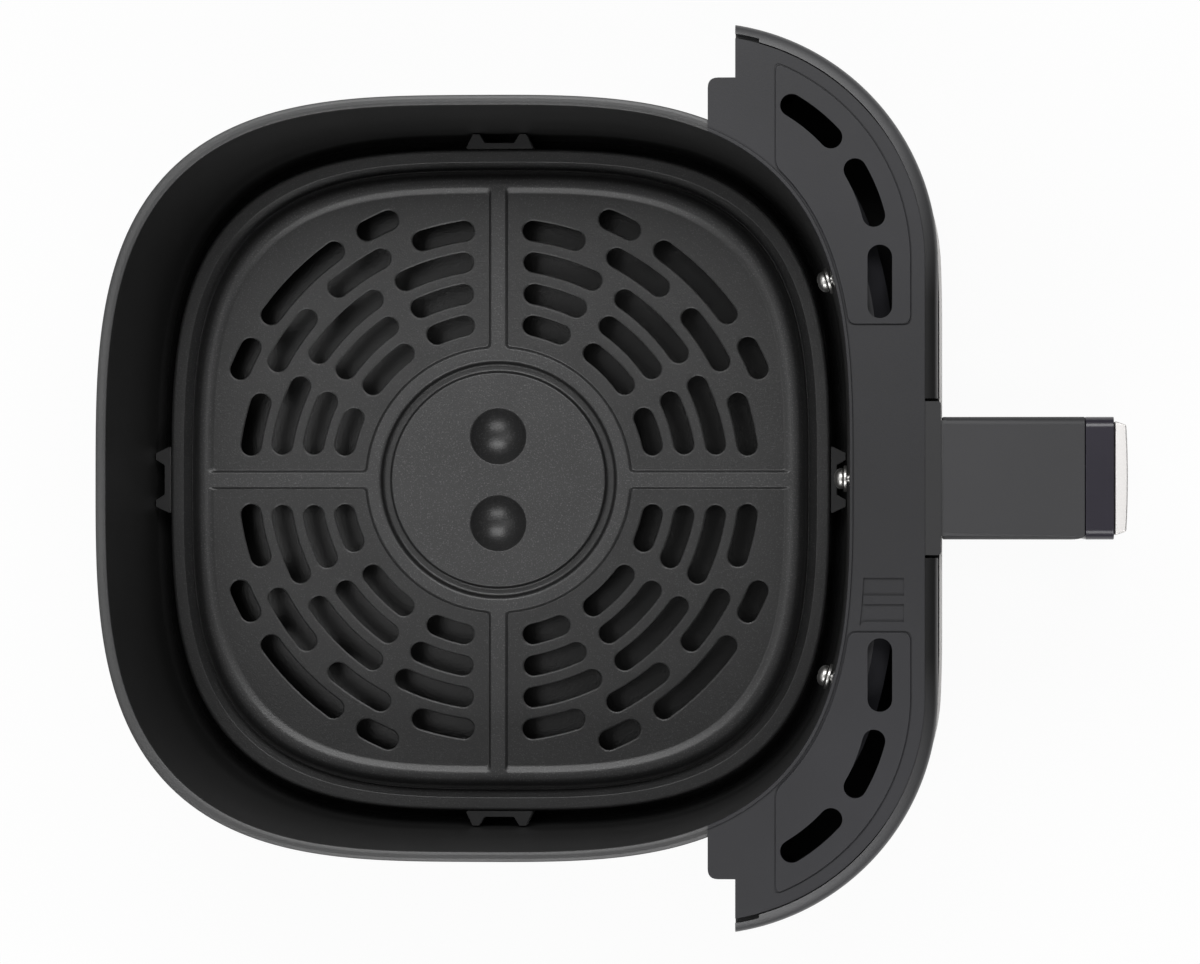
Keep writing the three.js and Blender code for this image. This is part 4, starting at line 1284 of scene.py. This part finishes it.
def makeShell():
    s, gap = fasciaShape, common["gap"]
    width, height = s["shoulderWidth"], s["shoulderHeight"]
    levels = [(fasciaOutline(width * u + s["inset"], tongueBack), fasciaBottom + height * v)
              for u, v in s["shoulder"]]
    levels += [(outline, fasciaTop + fasciaBottom - z) for outline, z in reversed(levels)]
    bm = bmesh.new()
    first, last = stackRings(bm, levels)
    for loop in (first, last):
        bmesh.ops.edgeloop_fill(bm, edges=loop)
    shell = finishMesh(bm, "fascia_casing")

    floorTop, high = fasciaBottom + s["floor"], fasciaTop - height
    h = handleShape
    half = h["rootHalf"] + h["notchGap"]
    notch = boxPiece((handleFace - h["rootDepth"] - gap, -half, handleTop - h["rootHeight"] - gap),
                     (far, half, far))
    tools = [fasciaBlock(s["wall"], fasciaCentreX, floorTop, high),
             fasciaBlock(width, fasciaCentreX, high - 1, fasciaTop + 1),
             boxPiece((0, -far, -1), (fasciaBack, far, far)),
             squareBlock(rimHalf + s["floorGap"], -1, floorTop + 1), notch]
    tools += [rod(screwHole, 0, floorTop + 1, upright(x, y)) for x, y in shellScrewPlaces()]
    tools += [rod(screwHole, fasciaReach - 6, far, matrix) for matrix in handleScrewPlaces()]
    inset, length = s["tipSlit"]
    tip = boxPiece((0, -far, 0), (fasciaBack + length, far, far))
    slit = fasciaBlock(inset, fasciaCentreX, high + s["tipFloor"], fasciaTop + 2)
    tools.append(combine(slit, [tip], "INTERSECT"))
    tools.append(panelPiece(gap / 2))
    combine(shell, tools, "DIFFERENCE")
    soften(clean(shell), s["edgeRound"], 3, 35)
    return place(shell, "shell_moulding", "fascia_shell")


def makeFrontPanel():
    panel = panelPiece(0)
    holes = [rod(screwHole, fasciaReach - 6, far, matrix) for matrix in handleScrewPlaces()]
    combine(panel, holes, "DIFFERENCE")
    soften(clean(panel), panelShape["edgeRound"], 2, 35)
    return place(panel, "front_stainless", "front_panel")


# handle

handleShape = {
    "half": 18.9,
    "rootHalf": 23.7,       # block in the shell's notch
    "rootDepth": 5.6,
    "rootHeight": 8.6,
    "rootStep": 0.7,        # the block's face behind the plate's
    "rootRound": 0.9,
    "neckDrop": 0.3,        # top of the neck that joins block and arm, below the arm's
    "notchGap": 0.9,        # on either side of the block
    "base": 4.0,
    "fingerDepth": 31.0,
    "fingerRadius": 6.0,
    "upperArm": 17.5,
    "lowerArm": 12.0,
    "longRound": 2.4,       # along the arm's edges
    "edgeRound": 0.5,
    "screwSide": 11.0,
    "screwTop": 13.6,
    "screwBottom": 8.5,
    "gripScrewEdge": 24.0,
}
bodyLow, bodyHigh = extent("handle_body")
coverLow, coverHigh = extent("grip_cover")
trimLow, trimHigh = extent("handle_trim")
handleTop, handleBottom, gripFace = bodyHigh.z, bodyLow.z, bodyHigh.x
handleFace = bodyLow.x + handleShape["rootDepth"]

screwShape = {
    "diameter": 4.0,
    "head": 6.6,
    "headHeight": 2.8,
    "recessWidth": 0.9,
    "recessLength": 3.6,
    "recessDepth": 1.3,
    "recessTaper": 0.45,
    "pitch": 1.4,
    "threadDepth": 0.35,
    "threadStart": 0.8,
    "domeShare": 0.8,       # of the head's height
    "tip": ((0.85, 1.5), (0.4, 0)),   # shares of the shank's radius at distances from its end
    "lengths": {"pan": 12, "shell": 14, "handle": 16, "grip": 11},
}
screwHole = screwShape["diameter"] + 2 * common["gap"]
washerShape = {"hole": 4.6, "diameter": 8.2, "thickness": 1.0}
spacerShape = {"hole": 4.6, "diameter": 10.0, "thickness": 2.0}


def makeHandleBody():
    s, gap = handleShape, common["gap"]
    half = s["half"]
    outer = [(handleFace, handleBottom), (gripFace, handleBottom), (gripFace, handleTop),
             (handleFace, handleTop)]
    back, front = handleFace + s["base"], handleFace + s["base"] + s["fingerDepth"]
    low, high, r = handleBottom + s["lowerArm"], handleTop - s["upperArm"], s["fingerRadius"]
    opening = (arc(front - r, low + r, r, -90, 0, 10) + arc(front - r, high - r, r, 0, 90, 10)
               + arc(back + r, high - r, r, 90, 180, 10) + arc(back + r, low + r, r, 180, 270, 10))
    bm = bmesh.new()
    fill(bm, ring(bm, outer, -half)[1] + ring(bm, opening, -half)[1])
    side = bmesh.ops.extrude_face_region(bm, geom=list(bm.faces), use_keep_orig=True)["geom"]
    bmesh.ops.translate(bm, verts=vertsOf(side), vec=(0, 0, 2 * half))
    bmesh.ops.dissolve_limit(bm, angle_limit=radians(0.2), use_dissolve_boundaries=False,
                             verts=bm.verts, edges=bm.edges)
    bmesh.ops.rotate(bm, verts=bm.verts, cent=(0, 0, 0), matrix=Matrix.Rotation(pi / 2, 3, "X"))
    bmesh.ops.recalc_face_normals(bm, faces=bm.faces)
    long = [edge for edge in bm.edges
            if all(abs(abs(v.co.y) - half) < 1e-3 for v in edge.verts)
            and abs(edge.verts[0].co.y - edge.verts[1].co.y) < 1e-3
            and not any(all(abs(v.co.x - x) < 1e-3 for v in edge.verts) for x in (gripFace, handleFace))]
    roundEdges(bm, long, s["longRound"], 6)
    body = finishMesh(bm, "handle_loop")
    rootBack, rootFront = handleFace - s["rootDepth"], handleFace - s["rootStep"]
    rootLow = handleTop - s["rootHeight"]
    bm = box((rootBack, -s["rootHalf"], rootLow), (rootFront, s["rootHalf"], handleTop))
    corners = [edge for edge in bm.edges if abs(edge.verts[0].co.z - edge.verts[1].co.z) > 1
               and all(v.co.x > rootFront - 0.1 for v in edge.verts)]
    roundEdges(bm, corners, s["rootRound"], 4)
    neck = boxPiece((rootBack + 2, 1 - half, rootLow + 1),
                    (handleFace + 1, half - 1, handleTop - s["neckDrop"]))
    combine(body, [finishMesh(bm, "root"), neck], "UNION")
    head = screwShape["head"] + 2 * gap
    tools = [rod(screwHole, handleFace - 1, handleFace + 16, matrix) for matrix in handleScrewPlaces()]
    for matrix in gripScrewPlaces():
        tools += [rod(screwHole, front - 1, gripFace + 1, matrix),
                  rod(head, front - 1, front + screwShape["headHeight"] + gap, matrix)]
    combine(body, tools, "DIFFERENCE")
    soften(clean(body), s["edgeRound"], 3, 50)
    return place(body, "handle_moulding", "handle_body")


def gripScrewPlaces():
    edge = handleShape["gripScrewEdge"]
    return [lying(0, 0, handleTop - edge), lying(0, 0, handleBottom + edge)]


gripShape = {
    "wall": 2.4,
    "longRound": 3.4,
    "edgeRound": 0.5,
    "hollowRound": 0.6,
    "boss": 8.4,
    "trimBack": 17.6,       # half width of the metal face where it meets the cap
    "trimFront": 16.4,
    "trimBow": 0.5,
    "trimRound": 0.5,
}


def pegPlaces():
    arm = handleShape["lowerArm"]
    return [lying(0, 0, z) for z in (handleBottom + arm, (handleBottom + handleTop) / 2, handleTop - arm)]


# a block lying across the handle whose edges along +X are rounded
def gripBlock(low, high, round_, segments=6):
    bm = box(low, high)
    long = [edge for edge in bm.edges if abs(edge.verts[0].co.x - edge.verts[1].co.x) > 1]
    roundEdges(bm, long, round_, segments)
    return bm


def makeGripCover():
    s = gripShape
    cover = finishMesh(gripBlock(coverLow, coverHigh, s["longRound"]), "grip_cap")
    wall = Vector((s["wall"],) * 3)
    low, high = coverLow + wall, coverHigh - wall
    low.x = coverLow.x - 1
    combine(cover, [finishMesh(gripBlock(low, high, s["hollowRound"], 2), "hollow")], "DIFFERENCE")
    bosses = [rod(s["boss"], coverLow.x, coverHigh.x - 1, matrix) for matrix in gripScrewPlaces()]
    combine(cover, bosses, "UNION")
    tools = [rod(screwHole, coverLow.x - 1, coverHigh.x - s["wall"], matrix) for matrix in gripScrewPlaces()]
    tools += [rod(screwHole, coverHigh.x - 5, coverHigh.x + 1, matrix) for matrix in pegPlaces()]
    combine(cover, tools, "DIFFERENCE")
    soften(clean(cover), s["edgeRound"], 3, 50)
    return place(cover, "grip_gloss", "grip_cover")


def makeTrim():
    s = gripShape
    start = coverHigh.x + common["gap"]
    outline = [(start, s["trimBack"]), (start, -s["trimBack"])]
    for i in range(13):
        share = i / 6 - 1
        outline.append((trimHigh.x - s["trimBow"] * share ** 2, s["trimFront"] * share))
    trim = prismPiece(outline, trimLow.z, trimHigh.z, "handle_face")
    soften(trim, s["trimRound"], 3, 20)
    combine(trim, [rod(screwShape["diameter"], trimLow.x, start + 1, matrix) for matrix in pegPlaces()],
            "UNION")
    return place(trim, "trim_stainless", "handle_trim")


def makeBracket():
    low, high = extent("handle_bracket")
    bracket = boxPiece(low, high, "mounting_bracket")
    combine(bracket, [rod(screwHole, 0, far, matrix) for matrix in handleScrewPlaces()], "DIFFERENCE")
    soften(clean(bracket), common["gap"], 2, 35)
    return place(bracket, "bracket_steel", "handle_bracket")


# fasteners

# a cross-recessed screw along its own upright axis, head below the seat, shank above
def screwBlank(length):
    s = screwShape
    head, shank, height = s["head"] / 2, s["diameter"] / 2, s["headHeight"]
    dome = [(head * sin(a), -height + (1 - cos(a)) * height * s["domeShare"])
            for a in (pi / 2 * i / 9 for i in range(10))]
    thread, z = [], s["threadStart"]
    while z < length - 2.5:
        thread += [(shank, z), (shank - s["threadDepth"], z + s["pitch"] / 2)]
        z += s["pitch"]
    flank = height * (s["domeShare"] - 1)
    profile = dome + rounded([(head, flank, 0), (head, 0, 0.25), (shank, 0, 0)], 3)[1:]
    profile += thread + [(shank * share, length - back) for share, back in s["tip"]] + [(0, length)]
    bm = bmesh.new()
    turn(bm, profile, 40)
    screw = finishMesh(bm, "screw")
    slots = []
    for turned in (0, pi / 2):
        bm = bmesh.new()
        size = (s["recessLength"], s["recessWidth"], 2 * s["recessDepth"])
        matrix = (Matrix.Translation((0, 0, -height)) @ Matrix.Rotation(turned, 4, "Z")
                  @ Matrix.Diagonal((*size, 1)))
        bmesh.ops.create_cube(bm, size=1, matrix=matrix)
        for vert in bm.verts:
            if vert.co.z > -height:
                vert.co.x *= s["recessTaper"]
                vert.co.y *= s["recessTaper"]
        slots.append(finishMesh(bm, "slot"))
    return combine(screw, slots, "DIFFERENCE")


def washerBlank(shape):
    inner, outer, high = shape["hole"] / 2, shape["diameter"] / 2, shape["thickness"]
    corners = [(inner, high / 2, 0), (inner, high, 0.2), (outer, high, 0.2), (outer, 0, 0.2),
               (inner, 0, 0.2), (inner, high / 2, 0)]
    bm = bmesh.new()
    turn(bm, rounded(corners, 3), 48)
    return finishMesh(bm, "washer")


# copies of a blank put at matrices, each standing for one node
def putCopies(blank, matrices, name, node, slot):
    for i, matrix in enumerate(matrices, 1):
        mesh = blank.data.copy()
        scaled = matrix.copy()
        scaled.translation = matrix.translation * mm
        mesh.transform(scaled)
        piece = bpy.data.objects.new(f"{name}_{i}", mesh)
        scene.collection.objects.link(piece)
        place(piece, slot, f"{node}_{i}")
    bpy.data.objects.remove(blank)


def makeFasteners():
    gap, lengths, steel = common["gap"], screwShape["lengths"], "screw_steel"
    washerStart = -2 * gap - washerShape["thickness"]
    bracketBack = extent("handle_bracket")[0].x
    gripSeat = handleFace + handleShape["base"] + handleShape["fingerDepth"] + screwShape["headHeight"]
    pan, front = list(panScrewPlaces()), list(handleScrewPlaces())
    below = [upright(x, y) for x, y in shellScrewPlaces()]
    for blank, places, start, name, node, slot in (
            (screwBlank(lengths["pan"]), pan, washerStart - gap, "basket_screw", "pan_screw", steel),
            (washerBlank(washerShape), pan, washerStart, "basket_washer", "pan_washer", steel),
            (washerBlank(spacerShape), pan, panShape["wall"] + gap,
             "insulating_spacer", "heat_spacer", "heat_spacer"),
            (screwBlank(lengths["shell"]), below, fasciaBottom - gap, "casing_screw", "shell_screw", steel),
            (screwBlank(lengths["handle"]), front, bracketBack - gap, "front_screw", "handle_screw", steel),
            (screwBlank(lengths["grip"]), gripScrewPlaces(), gripSeat, "cap_screw", "grip_screw", steel)):
        matrices = [matrix @ Matrix.Translation((0, 0, start)) for matrix in places]
        putCopies(blank, matrices, name, node, slot)


makeInsert()
print("fascia insert made")
makeShell()
makeFrontPanel()
print("fascia shell and front made")
makeHandleBody()
makeGripCover()
makeTrim()
makeBracket()
print("handle made")
makeFasteners()
print("fasteners made")
